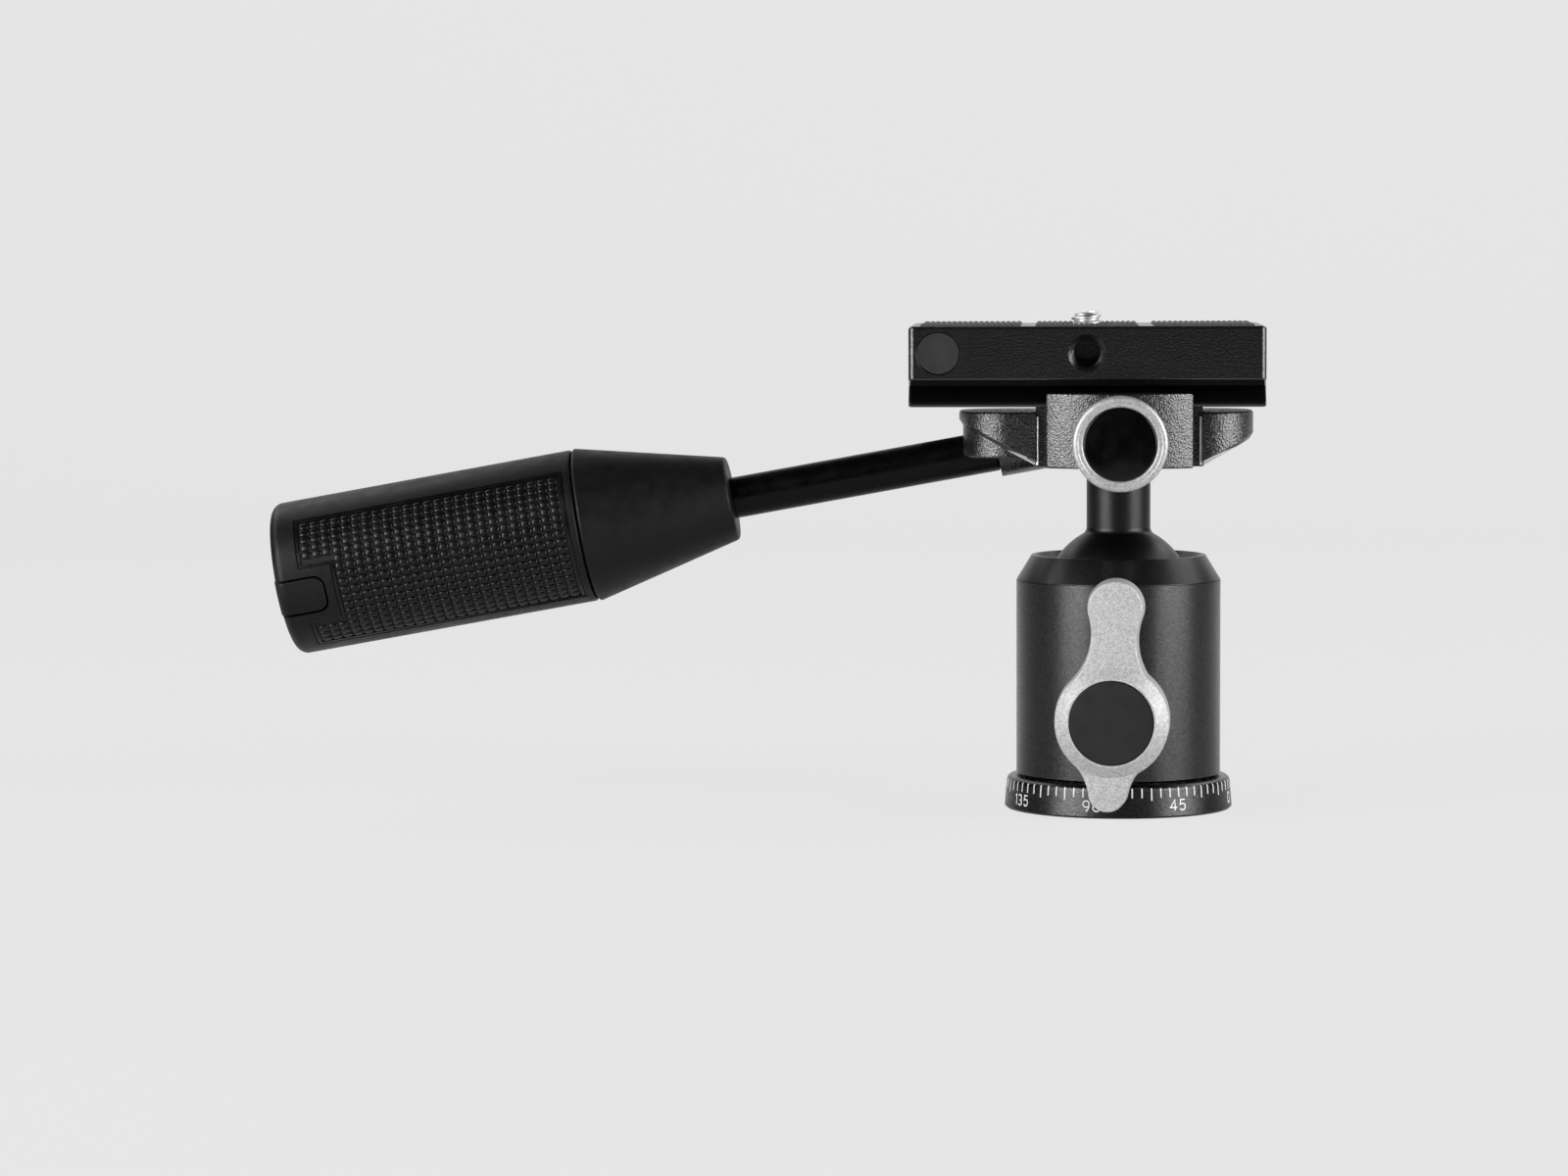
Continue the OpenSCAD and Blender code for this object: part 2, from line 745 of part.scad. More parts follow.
module clamp_bolt() {
    color("#8d8d8c") {
        translate([0, 0, clamp_z + spigot_h - bolt_depth])
            cylinder(r = bolt_r, h = bolt_seat + loose - clamp_z - spigot_h + bolt_depth + eps);
        translate([0, 0, bolt_seat + loose]) difference() {
            cylinder(r = bolt_head_r, h = bolt_head_t);
            translate([0, 0, bolt_socket_floor]) cylinder(r = bolt_r, h = bolt_head_t, $fn = 6);
        }
    }
}

// A wing in plan, from the bed's side out to its rounded end
module wing_end(len, depth, round_r) {
    intersection() {
        union() {
            for (s = [-1, 1]) translate([len - round_r, s * (depth - round_r)]) circle(round_r);
            translate([len - round_r, round_r - depth]) square([round_r, 2 * (depth - round_r)]);
            translate([-over, -depth]) square([len - round_r + over, 2 * depth]);
        }
        translate([0, -depth]) square([len, 2 * depth]);
    }
}

// A jaw in plan: straight sides and a curved front, between y = near and the front
module jaw_plan(near) {
    intersection() {
        translate([0, jaw_center]) circle(jaw_curve_r);
        translate([-jaw_hw, -jaw_reach]) square([2 * jaw_hw, jaw_reach - near]);
    }
}

module clamp_base() {
    slope = tan(wing_slope);
    reach = block_hw + wing_len + over;
    color("#1b1b1c") difference() {
        union() {
            translate([-block_hw, -block_hd, clamp_z]) cube([2 * block_hw, 2 * block_hd, block_h]);
            translate([0, 0, clamp_z]) linear_extrude(jaw_top - clamp_z)
                mirror([0, 1]) jaw_plan(block_hd - eps);
            intersection() {
                translate([0, 0, clamp_z]) linear_extrude(wing_top - clamp_z) {
                    translate([-block_hw, 0]) mirror([1, 0]) wing_end(wing_len, wing_hd, wing_corner_r);
                    translate([block_hw, 0]) wing_end(wing_corner_r, wing_hd, wing_corner_r);
                }
                rotate([90, 0, 0]) linear_extrude(2 * wing_hd + 2 * over, center = true) polygon([
                    [-reach, clamp_z + (reach - wing_root) * slope], [-wing_root, clamp_z],
                    [wing_root, clamp_z], [reach, clamp_z + (reach - wing_root) * slope],
                    [reach, wing_top + over], [-reach, wing_top + over]
                ]);
            }
            translate([eps - block_hw, 0, lug_z]) linear_extrude(wing_top - edge - lug_z) mirror([1, 0])
                wing_end(wing_len - lug_inset + eps, wing_hd - lug_inset, wing_corner_r - lug_inset);
            at_handle() translate([0, 0, -socket_len]) cylinder(r = socket_r, h = socket_len);
        }
        dovetail_room(jaw_gap);
        at_handle() {
            cylinder(r = channel_r, h = wing_len);
            translate([0, 0, -stud_len - clear]) cylinder(r = stud_r + run, h = stud_len + clear + over);
        }
        translate([0, 0, clamp_z - over]) cylinder(r = spigot_r + run, h = spigot_h + loose + over);
        translate([0, 0, clamp_z]) cylinder(r = bolt_r + loose, h = block_h);
        translate([0, 0, bolt_seat]) cylinder(r = bolt_head_r + clear, h = block_h);
        at_knob() {
            translate([0, 0, screw_end - clear]) cylinder(r = knob_screw_r + run, h = block_hd);
            for (s = [-1, 1]) translate([s * pin_x, 0, pin_in]) cylinder(r = pin_r + seat, h = block_hd);
        }
    }
}

module guide_pins() {
    color("#8d8d8c") at_knob() for (s = [-1, 1])
        translate([s * pin_x, 0, pin_in + eps]) cylinder(r = pin_r, h = pin_out - pin_in);
}

module clamp_jaw() {
    color("#1b1b1c") difference() {
        translate([0, 0, clamp_z]) linear_extrude(jaw_top - clamp_z) jaw_plan(block_hd + loose);
        dovetail_room(jaw_gap);
        at_knob() {
            cylinder(r = knob_screw_r + knob_bore_gap, h = jaw_reach + over);
            translate([0, 0, washer_seat_y]) cylinder(r = knob_washer_r + clear, h = over);
            for (s = [-1, 1]) translate([s * pin_x, 0, 0]) cylinder(r = pin_r + run, h = pin_out + clear);
        }
    }
}

module knob_ring() {
    color("#b9bbbc") at_knob() translate([0, 0, knob_y]) turned_knob(
        knob_r, knob_len, knob_bevel, knob_screw_r + seat, knob_cap_r + loose,
        knob_cap_t + knob_cap_sink
    );
}

module knob_cap() {
    color("#1d1d1f") at_knob() translate([0, 0, knob_end - knob_cap_t - knob_cap_sink])
        cylinder(r = knob_cap_r, h = knob_cap_t);
}

module knob_screw() {
    color("#8d8d8c") at_knob() translate([0, 0, screw_end])
        cylinder(r = knob_screw_r, h = knob_end - knob_cap_t - knob_cap_sink - screw_end - seat);
}

module knob_washer() {
    color("#8d8d8c") at_knob() translate([0, 0, washer_seat_y + run])
        ring(knob_screw_r + loose, knob_washer_r, knob_washer_t);
}

// The plate in plan, with rounded corners
module plate_plan() {
    x = plate_len / 2 - plate_corner_r;
    y = plate_hw - plate_corner_r;
    for (i = [-1, 1], j = [-1, 1]) translate([i * x, j * y]) circle(plate_corner_r);
    square([2 * x, 2 * plate_hw], center = true);
    square([plate_len, 2 * y], center = true);
}

// A pad, or with a gap its pocket, whose left end is at x from the plate's middle
module pad_block(x, len, gap) {
    translate([plate_x + x - gap, -pad_hw - gap, pad_floor])
        cube([len + 2 * gap, 2 * pad_hw + 2 * gap, pad_t]);
}

module plate_body() {
    half = [
        [foot_hw, plate_z], [foot_hw, slope_z], [plate_neck_hw, neck_z], [plate_neck_hw, body_z],
        [plate_hw, body_z], [plate_hw, plate_top]
    ];
    color("#161617") difference() {
        intersection() {
            translate([plate_x - plate_len / 2, 0, 0]) rotate([90, 0, 90]) linear_extrude(plate_len)
                polygon(concat(half, [for (i = [5:-1:0]) [-half[i].x, half[i].y]]));
            translate([plate_x, 0, plate_z - over]) linear_extrude(plate_top - plate_z + 2 * over)
                plate_plan();
        }
        pad_block(-plate_len / 2 + pad_end, pad_side_len, loose);
        pad_block(-pad_mid_len / 2, pad_mid_len, loose);
        pad_block(plate_len / 2 - pad_end - pad_side_len, pad_side_len, loose);
        translate([plate_x, 0, 0]) {
            translate([0, 0, plate_z - over]) cylinder(r = head_room_r, h = head_room_top - plate_z + over);
            translate([0, 0, plate_z]) cylinder(r = camera_thread_r + loose, h = plate_top);
            translate([0, 0, screw_room_z]) cylinder(r = screw_room_r, h = plate_body_h);
            translate([0, -plate_hw, side_z]) rotate([-90, 0, 0]) {
                translate([0, 0, -over]) cylinder(r = camera_thread_r, h = accessory_depth + over);
                translate([0, 0, -eps]) cylinder(
                    r1 = camera_thread_r + accessory_bevel, r2 = camera_thread_r, h = accessory_bevel
                );
            }
            translate([-plug_x, -plate_hw - over, side_z]) rotate([-90, 0, 0])
                cylinder(r = plug_r + loose, h = plug_depth + over);
            for (s = [-1, 1]) translate([s * stop_x, 0, plate_z - over])
                cylinder(r = stop_shank_r + seat, h = stop_len + over);
        }
    }
}

module pad(x, len) {
    color("#101011") pad_block(x, len, 0);
}

module pad_left() {
    pad(-plate_len / 2 + pad_end, pad_side_len);
}

module pad_centre() {
    difference() {
        pad(-pad_mid_len / 2, pad_mid_len);
        translate([plate_x, 0, pad_floor - over]) cylinder(r = screw_room_r, h = pad_t + 2 * over);
    }
}

module pad_right() {
    pad(plate_len / 2 - pad_end - pad_side_len, pad_side_len);
}

module side_plug() {
    color("#1a1a1b") translate([plate_x - plug_x, -plate_hw, side_z]) rotate([-90, 0, 0])
        cylinder(r = plug_r, h = plug_depth);
}

module stop_screws() {
    color("#8d8d8c") for (s = [-1, 1]) translate([plate_x + s * stop_x, 0, plate_z - stop_proud]) {
        cylinder(r = stop_r, h = stop_proud);
        cylinder(r = stop_shank_r, h = stop_proud + stop_len - clear);
    }
}

module screw_clip() {
    color("#8d8d8c") translate([plate_x, 0, screw_room_z + run]) difference() {
        ring(shank_r + run, screw_clip_r, screw_clip_t);
        translate([0, -screw_clip_open, -over])
            cube([screw_clip_r, 2 * screw_clip_open, screw_clip_t + 2 * over]);
    }
}

module camera_screw() {
    collar_z = screw_room_z + screw_clip_t + 2 * run;
    color("#b9bbbc") translate([plate_x, 0, 0]) difference() {
        union() {
            translate([0, 0, screw_head_top - screw_head_t]) cylinder(r = screw_head_r, h = screw_head_t);
            translate([0, 0, screw_head_top - eps])
                cylinder(r = shank_r, h = screw_tip - screw_head_top - edge);
            translate([0, 0, collar_z]) cylinder(r = camera_thread_r, h = screw_tip - edge - collar_z);
            translate([0, 0, screw_tip - edge])
                cylinder(r1 = camera_thread_r, r2 = camera_thread_r - edge, h = edge);
        }
        translate([-screw_head_r, -screw_slot_hw, screw_head_top - screw_head_t - over])
            cube([2 * screw_head_r, 2 * screw_slot_hw, screw_slot_depth + over]);
    }
}

module handle_rod() {
    color("#1c1c1d") at_handle() {
        translate([0, 0, -stud_len]) cylinder(r = stud_r, h = stud_len + over);
        translate([0, 0, edge]) cylinder(r = rod_r, h = rod_end - edge);
        translate([0, 0, loose]) cylinder(r1 = rod_r - edge + loose, r2 = rod_r, h = edge - loose);
    }
}

module handle_cone() {
    color("#141415") at_handle() rotate_extrude() polygon([
        [rod_r + seat, rod_bare], [cone_r - cone_bevel, rod_bare], [cone_r, rod_bare + cone_bevel],
        [cone_end_r, seam - edge], [cone_end_r - edge, seam], [cone_end_r - cone_wall, seam],
        [nut_r + over, cone_room], [rod_r + seat, cone_room]
    ]);
}

module rod_nut() {
    color("#8d8d8c") at_handle() translate([0, 0, nut_at]) difference() {
        cylinder(r = nut_r, h = nut_t, $fn = 6);
        translate([0, 0, -over]) cylinder(r = rod_r + seat, h = nut_t + 2 * over);
    }
}

// Half section of the grip's outside, rounded at its end
module grip_outline(start, end) {
    translate([0, start]) square([grip_r - grip_round, end - start]);
    translate([0, start]) square([grip_r, end - start - grip_round]);
    translate([grip_r - grip_round, end - grip_round]) circle(grip_round);
}

// The storage plug's tab up to height end, grown by gap, with rounded inner corners
module tab_block(gap, end) {
    half = storage_w / 2 + gap;
    round_r = tab_round + gap;
    low = tab_start - gap;
    translate([storage_in, 0, 0]) rotate([90, 0, 90]) linear_extrude(grip_r) {
        translate([-half, low + round_r]) square([2 * half, end - low - round_r]);
        translate([-half + round_r, low]) square([2 * (half - round_r), end - low]);
        for (s = [-1, 1]) translate([s * (half - round_r), low + round_r]) circle(round_r);
    }
}

// Room for the storage plug, grown by gap, with its tab's notch open to the skin
module storage_room(gap) {
    at = storage_end - storage_len - gap;
    rotate([0, 0, storage_turn]) {
        translate([storage_in - gap, -storage_w / 2 - gap, at])
            cube([storage_out - storage_in + 2 * gap, storage_w + 2 * gap, storage_len + gap + over]);
        tab_block(gap, storage_end + over);
    }
}

// Moulded tube: solid round the rod, hollow beyond it, with a chute for the storage plug
module grip_core() {
    color("#2a2a2b") at_handle() difference() {
        translate([0, 0, core_start]) cylinder(r = core_r, h = core_end - core_start);
        translate([0, 0, core_start - over])
            cylinder(r = rod_r + seat, h = rod_end - core_start + over + clear);
        difference() {
            translate([0, 0, core_floor])
                cylinder(r = core_r - core_wall, h = core_end - core_wall - core_floor);
            storage_room(storage_fit + core_wall);
        }
        storage_room(storage_fit);
    }
}

module grip_shell() {
    color("#131314") at_handle() difference() {
        rotate_extrude() difference() {
            grip_outline(grip_start, grip_end);
            translate([0, grip_start - over]) square([core_r + run, core_end + run - grip_start + over]);
        }
        difference() {
            rotate([0, 0, strip_half]) rotate_extrude(angle = 360 - 2 * strip_half)
                translate([grip_r - panel_depth, panel_start]) square([over, panel_end - panel_start]);
            rotate([0, 0, storage_turn])
                translate([0, -storage_w / 2 - tab_margin, tab_start - tab_margin])
                    cube([2 * grip_r, storage_w + 2 * tab_margin, tab_len + tab_margin]);
        }
        storage_room(storage_fit);
    }
}

module storage_plug() {
    color("#19191a") at_handle() intersection() {
        rotate([0, 0, storage_turn]) union() {
            translate([storage_in, -storage_w / 2, storage_end - storage_len])
                cube([storage_out - storage_in, storage_w, storage_len]);
            tab_block(0, storage_end + over);
        }
        rotate_extrude() grip_outline(0, storage_end);
    }
}

base_plate();
thread_insert();
thrust_washer();
spindle_clip();
main_housing();
ball_collar();
upper_seat();
shaft_bush();
pressure_cup();
lock_lever();
lever_cap();
cam_shaft();
lever_screw();
lever_washer();
pan_brake_shoe();
pan_lock_knob();
pan_lock_cap();
pan_lock_screw();
ball_stem();
clamp_bolt();
clamp_base();
guide_pins();
clamp_jaw();
knob_ring();
knob_cap();
knob_screw();
knob_washer();
plate_body();
pad_left();
pad_centre();
pad_right();
side_plug();
stop_screws();
screw_clip();
camera_screw();
handle_rod();
handle_cone();
rod_nut();
grip_core();
grip_shell();
storage_plug();
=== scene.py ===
import json
from functools import partial
from math import asin, atan2, cos, hypot, pi, radians, sin, sqrt, tan

import bmesh
import bpy
from mathutils import Matrix, Vector


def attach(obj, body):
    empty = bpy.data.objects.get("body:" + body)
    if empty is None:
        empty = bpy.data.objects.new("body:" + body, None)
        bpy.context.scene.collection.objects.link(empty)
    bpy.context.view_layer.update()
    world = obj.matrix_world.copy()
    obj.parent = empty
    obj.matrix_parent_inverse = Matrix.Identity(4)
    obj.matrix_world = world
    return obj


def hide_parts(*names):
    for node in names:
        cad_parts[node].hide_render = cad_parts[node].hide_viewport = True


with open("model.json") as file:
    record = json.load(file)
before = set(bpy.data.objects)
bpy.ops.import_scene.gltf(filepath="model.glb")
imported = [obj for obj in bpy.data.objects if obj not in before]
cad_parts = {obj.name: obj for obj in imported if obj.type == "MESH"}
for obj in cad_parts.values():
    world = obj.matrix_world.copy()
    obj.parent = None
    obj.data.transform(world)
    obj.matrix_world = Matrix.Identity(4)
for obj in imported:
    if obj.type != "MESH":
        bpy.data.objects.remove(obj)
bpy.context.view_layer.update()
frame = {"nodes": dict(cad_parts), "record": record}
NODES = frame["nodes"]
scene = bpy.context.scene
scene.view_settings.view_transform = "Standard"
MM = 0.001

# Sizes of the head in millimetres and its angles in degrees, as in the part's source, except that
# the lever's outline is up to 0.7 mm wider
BASE_R, BASE_TOP_R, BASE_H, BASE_EDGE, BASE_ROUND = 23.2, 22.8, 6.6, 0.4, 1.2
LEVER_YAW, LEVER_LEAN, CAM_Z = 3.0, 2.4, 20.2
HUB_R, LEVER_CAP_R, NECK_HW, NECK_Y, ARM_SHIFT = 11.35, 8.4, 4.8, 16.7, -0.3
PADDLE_R, TAB_HW, TAB_Y, TAB_FLARE = 5.75, 4.05, 14.2, -9.0
HUB_BACK, ARM_BACK, ARM_FRONT, HUB_FRONT = 22.2, 24.2, 31.5, 33.0
LEVER_CAP_BACK, LEVER_CAP_FRONT, DRIVE_R = 31.8, 32.8, 3.6
PAN_LOCK_Z, PAN_KNOB_Y, PAN_KNOB_R, PAN_KNOB_LEN = 9.3, 23.7, 6.4, 7.4
PAN_CAP_R, PAN_CAP_T, PAN_SCREW_R = 4.6, 0.8, 1.9
KNOB_Z, KNOB_Y, KNOB_R, KNOB_LEN = 75.5, 25.1, 9.45, 9.0
KNOB_CAP_R, KNOB_CAP_T, KNOB_CAP_SINK, KNOB_SCREW_R = 7.25, 1.0, 0.15, 3.0
PLATE_X, PLATE_HW, PLATE_LEN, PAD_FLOOR, SIDE_Z = -6.5, 20.0, 71.5, 98.1, 93.2
PAD_T, PAD_GAP, PAD_MID, PAD_END, PAD_SIDE = 0.9, 3.1, 20.5, 2.3, 2.0
CAMERA_R, SCREW_TIP, SCREW_ROOM_R, SHANK_R = 3.175, 101.0, 4.975, 2.375
SCREW_HEAD_TOP, SCREW_HEAD_T, SCREW_HEAD_R, COLLAR_Z = 88.5, 3.0, 6.975, 96.1
TRIPOD_R, TRIPOD_DEPTH, ACCESSORY_DEPTH = 4.7625, 11.0, 8.0
SOCKET_X, SOCKET_Z, HANDLE_DROP = 24.6, 73.05, 10.3
GRIP_R, PANEL_DEPTH, PANEL_START, PANEL_END = 15.7, 0.35, 87.7, 143.8
STRIP_HALF, LOW_STRIP_HALF, STORAGE_TURN, STORAGE_W = 40.5, 26.0, -103.0, 7.0
TAB_START, TAB_MARGIN = 139.3, 2.1
ROD_R, CONE_START, CONE_R, CONE_END_R, CONE_WALL = 4.2, 55.1, 8.6, 15.85, 2.2
SEAM, CONE_ROOM, CONE_ROOM_R, PLATE_STEP_Z = 85.9, 73.4, 7.5, 87.8
GRIP_START, GRIP_END, GRIP_ROUND, CORE_R, CORE_END = 86.2, 149.1, 2.2, 13.3, 143.65
STORAGE_IN, STORAGE_OUT, STORAGE_FIT, TAB_ROUND = 6.2, 11.9, 0.2, 2.0
HOUSING_R, HOUSING_TOP, SHOULDER_R, SHOULDER_Z = 20.8, 46.5, 20.75, 46.7
RIM_R, RIM_W, RIM_Z, FUNNEL_R, FUNNEL_Z = 17.7, 0.7, 51.7, 14.55, 48.0
SKIRT_IN, SKIRT_OUT, SKIRT_Z, SEAT_TOP = 16.5, 18.0, 41.6, 47.17
BLOCK_HW, BLOCK_HD, WING_HD, WING_R, WING_LEN = 16.8, 12.0, 14.0, 10.4, 15.6
CLAMP_Z, WING_ROOT, WING_SLOPE, WING_TOP = 70.2, 16.3, 28.2, 81.1
LUG_Z, JAW_HW, JAW_TOP, JAW_CURVE, JAW_CENTRE = 71.9, 14.7, 85.2, 27.0, 2.2
PLATE_Z, SLOPE_Z, NECK_Z, PLATE_TOP, FOOT_HW, PLATE_NECK = 82.4, 83.4, 86.6, 98.6, 19.0, 15.8
PLATE_CORNER, HEAD_ROOM_R, HEAD_ROOM_TOP, SCREW_ROOM_Z = 1.2, 7.475, 91.4, 95.4
PLUG_X, PLUG_HOLE_R, PLUG_DEPTH, PLUG_BEVEL = 29.75, 4.25, 3.0, 0.18
STOP_X, STOP_HOLE_R, STOP_DEPTH = 25.6, 1.32, 5.0
ACCESSORY_BEVEL, POCKET_GAP, NOTCH_EXTRA = 0.6, 0.1, 0.22
# Only in the scene: room round a cap and round a shaft, how far a cutting tool stands past a face,
# steps of a round corner, and the eased ends of the cone and the grip
CAP_GAP, BORE_GAP, OVER, CORNER_STEPS = 0.1, 0.02, 1.0, 8
CONE_NIP, LIP_LEN, LIP_DEEP, SEAM_ROUND = 0.1, 0.40, 0.50, 0.50


def turn(degrees, axis):
    return Matrix.Rotation(radians(degrees), 4, axis)


def move(x, y, z):
    return Matrix.Translation((x, y, z))


# Places: a piece is drawn about z, or as a flat outline that is raised along y or along x
WORLD = Matrix.Identity(4)
ALONG_Y = Matrix(((1, 0, 0, 0), (0, 0, 1, 0), (0, 1, 0, 0), (0, 0, 0, 1)))
ALONG_X = Matrix(((0, 0, 1, 0), (1, 0, 0, 0), (0, 1, 0, 0), (0, 0, 0, 1)))
LEVER = turn(-LEVER_YAW, "Z") @ move(0, 0, CAM_Z) @ turn(90, "X") @ turn(-LEVER_LEAN, "Z")
REAR = turn(-LEVER_YAW, "Z") @ move(0, 0, PAN_LOCK_Z) @ turn(-90, "X")
KNOB = move(0, 0, KNOB_Z) @ turn(90, "X")
HANDLE = move(-SOCKET_X, 0, SOCKET_Z) @ turn(-90 - HANDLE_DROP, "Y")
SCREW = move(PLATE_X, 0, 0)
SIDE_HOLE = move(PLATE_X, -PLATE_HW, SIDE_Z) @ turn(-90, "X")

# Materials: parts of a noise's range that count, and the tints of greys and metals
WHOLE, MIDDLE, COOL = (0.0, 1.0), (0.3, 0.7), 1.03
STEEL_HUE, BRONZE_HUE = (1, 0.99, 1), (1, 0.78, 1 / 2.2)
ALONG, EVENLY = (1, 1, 4), (1, 1, 1)


def put(node, **values):
    """Sets a node's inputs by name."""
    for name, value in values.items():
        node.inputs[name].default_value = value


def add_node(tree, kind, **values):
    """A new shader node with some of its inputs set."""
    node = tree.nodes.new(kind)
    put(node, **values)
    return node


def map_range(tree, source, cut, low, high):
    """The part of a source within the cut, spread from low to high."""
    ends = {"From Min": cut[0], "From Max": cut[1], "To Min": low, "To Max": high}
    node = add_node(tree, "ShaderNodeMapRange", **ends)
    tree.links.new(source, node.inputs["Value"])
    return node.outputs["Result"]


class Finish:
    """A principled material whose colour, roughness and surface come from noise in object space."""

    def __init__(self, name, color, rough, metal=0.0, specular=0.5):
        self.mat = bpy.data.materials.new(name)
        self.mat.use_nodes = True
        self.tree = self.mat.node_tree
        self.shader = self.tree.nodes["Principled BSDF"]
        put(self.shader, Metallic=metal, Roughness=rough)
        put(self.shader, **{"Specular IOR Level": specular, "Base Color": (*color, 1)})
        self.color = color
        self.place = add_node(self.tree, "ShaderNodeTexCoord").outputs["Object"]

    def link(self, a, b):
        self.tree.links.new(a, b)

    def noise(self, size, detail=3.0, stretch=EVENLY):
        """Noise with features of about this size in millimetres."""
        mapping = add_node(self.tree, "ShaderNodeMapping", Scale=stretch)
        self.link(self.place, mapping.inputs["Vector"])
        node = add_node(self.tree, "ShaderNodeTexNoise", Scale=1 / (size * MM), Detail=detail)
        self.link(mapping.outputs["Vector"], node.inputs["Vector"])
        return node.outputs["Fac"]

    def cells(self, size):
        """A random value per grain of about this size in millimetres."""
        node = add_node(self.tree, "ShaderNodeTexVoronoi", Scale=1 / (size * MM))
        self.link(self.place, node.inputs["Vector"])
        split = add_node(self.tree, "ShaderNodeSeparateColor")
        self.link(node.outputs["Color"], split.inputs["Color"])
        return split.outputs["Red"]

    def tint(self, source, low, high, cut=MIDDLE):
        """Colour between low and high times the base colour."""
        node = add_node(self.tree, "ShaderNodeVectorMath", Vector=self.color)
        node.operation = "SCALE"
        self.link(map_range(self.tree, source, cut, low, high), node.inputs["Scale"])
        self.link(node.outputs["Vector"], self.shader.inputs["Base Color"])

    def polish(self, source, low, high, cut=MIDDLE):
        """Roughness between low and high."""
        spread = map_range(self.tree, source, cut, low, high)
        self.link(spread, self.shader.inputs["Roughness"])

    def bump(self, source, depth, strength=None):
        """Relief of this depth in millimetres, less where a strength is given."""
        node = add_node(self.tree, "ShaderNodeBump", Strength=1.0, Distance=depth * MM)
        self.link(source, node.inputs["Height"])
        if strength:
            self.link(strength, node.inputs["Strength"])
        self.link(node.outputs["Normal"], self.shader.inputs["Normal"])


def grey(value):
    return (value, value, value * COOL)


def blasted(name, value, rough, grain, depth):
    """Bead-blasted and anodised metal."""
    f = Finish(name, grey(value), rough, 1.0)
    f.tint(f.cells(grain), 0.82, 1.2, WHOLE)
    f.polish(f.noise(grain * 2), rough - 0.04, rough + 0.04)
    f.bump(f.noise(grain, 2.0), depth)
    return f.mat


def plastic(name, value, rough, grain, depth, specular=0.5):
    """Moulded plastic or rubber with a fine spark-eroded grain."""
    f = Finish(name, grey(value), rough, 0.0, specular)
    f.tint(f.noise(9.0), 0.8, 1.25)
    f.polish(f.noise(3.0), rough - 0.06, rough + 0.08)
    f.bump(f.noise(grain, 3.0), depth)
    return f.mat


def turned(name, value, rough, stretch, hue=STEEL_HUE):
    """Machined steel or bronze with fine turning marks."""
    f = Finish(name, [value * share for share in hue], rough, 1.0)
    f.tint(f.noise(0.5, 2.0, stretch), 0.85, 1.1)
    f.polish(f.noise(2.0), rough - 0.06, rough + 0.1)
    f.bump(f.noise(0.25, 2.0, stretch), 0.012)
    return f.mat


def silver(name, value, rough, metal):
    """Aluminium paint: part of it scatters, with flakes that flash."""
    f = Finish(name, (value, value, value), rough, metal)
    f.tint(f.cells(0.26), 0.76, 1.26, WHOLE)
    f.polish(f.cells(0.4), rough - 0.06, rough + 0.06, WHOLE)
    f.bump(f.noise(0.28, 2.0), 0.03)
    return f.mat


def wrinkled(name):
    """Thick textured paint with a glossy skin."""
    f = Finish(name, grey(0.003), 0.22, 0.0, 0.8)
    f.tint(f.noise(5.0), 0.75, 1.3)
    f.polish(f.noise(1.2), 0.20, 0.30)
    f.bump(f.noise(0.36, 1.0), 0.13)
    return f.mat


def plate_paint(name):
    """Fine texture on the plate's upper body, a smooth glossy dovetail under it that is also
    painted darker, as shade under the body's overhang.
    """
    f = Finish(name, grey(0.0036), 0.22, 0.0, 0.75)
    split = add_node(f.tree, "ShaderNodeSeparateXYZ")
    f.link(f.place, split.inputs["Vector"])
    height, blend = split.outputs["Z"], 0.2
    step = ((PLATE_STEP_Z - blend) * MM, PLATE_STEP_Z * MM)
    # Painted shade: the dovetail under the overhang is darkened to 0.15 of the body's colour
    f.tint(height, 0.15, 1.0, step)
    f.polish(height, 0.20, 0.23, step)
    f.bump(f.noise(0.30, 2.0), 0.050, map_range(f.tree, height, step, 0.1, 1.0))
    return f.mat


# Each has its value and roughness first. Then blasted has grain and depth, silver has metal,
# plastic has grain, depth and specular, and turned has stretch and hue
MATERIALS = {slot: kind(slot + "_look", *values) for slot, kind, *values in (
    ("base_black", blasted, 0.036, 0.28, 0.35, 0.04),
    ("housing_charcoal", blasted, 0.038, 0.29, 0.30, 0.025),
    ("collar_black", blasted, 0.032, 0.32, 0.2, 0.002),
    ("ball_black", blasted, 0.024, 0.37, 0.2, 0.003),
    ("clamp_black", wrinkled),
    ("plate_black", plate_paint),
    ("lever_silver", silver, 0.36, 0.58, 0.42),
    ("knob_silver", silver, 0.37, 0.48, 0.66),
    ("cap_black", plastic, 0.0095, 0.45, 0.3, 0.008, 0.25),
    ("pad_rubber", plastic, 0.034, 0.70, 0.3, 0.02),
    ("plug_black", plastic, 0.012, 0.48, 0.35, 0.012, 0.32),
    ("rod_black", plastic, 0.0008, 0.28, 0.4, 0.004, 0.12),
    ("handle_plastic", plastic, 0.0026, 0.44, 0.4, 0.07, 0.18),
    ("grip_rubber", plastic, 0.0018, 0.27, 0.3, 0.015, 0.24),
    ("grip_skin", plastic, 0.0022, 0.44, 0.3, 0.03, 0.19),
    ("slip_plastic", plastic, 0.62, 0.45, 0.6, 0.01),
    ("steel", turned, 0.48, 0.32, ALONG),
    ("screw_steel", turned, 0.66, 0.42, ALONG),
    ("bronze", turned, 0.62, 0.32, ALONG, BRONZE_HUE),
    ("dial_white", plastic, 0.62, 0.55, 0.3, 0.008),
    # These two paint light on the clamp's trims: the first is a brighter metal for the left strip
    # than for the right, as a painted highlight, and the second is a light grey that is partly the
    # bare edge and partly a painted reflection
    ("bare_edge", turned, 0.60, 0.34, EVENLY),
    ("bare_cast", plastic, 0.36, 0.50, 0.3, 0.01),
    ("knob_black", plastic, 0.0006, 0.18, 0.3, 0.002, 0.3),
)}

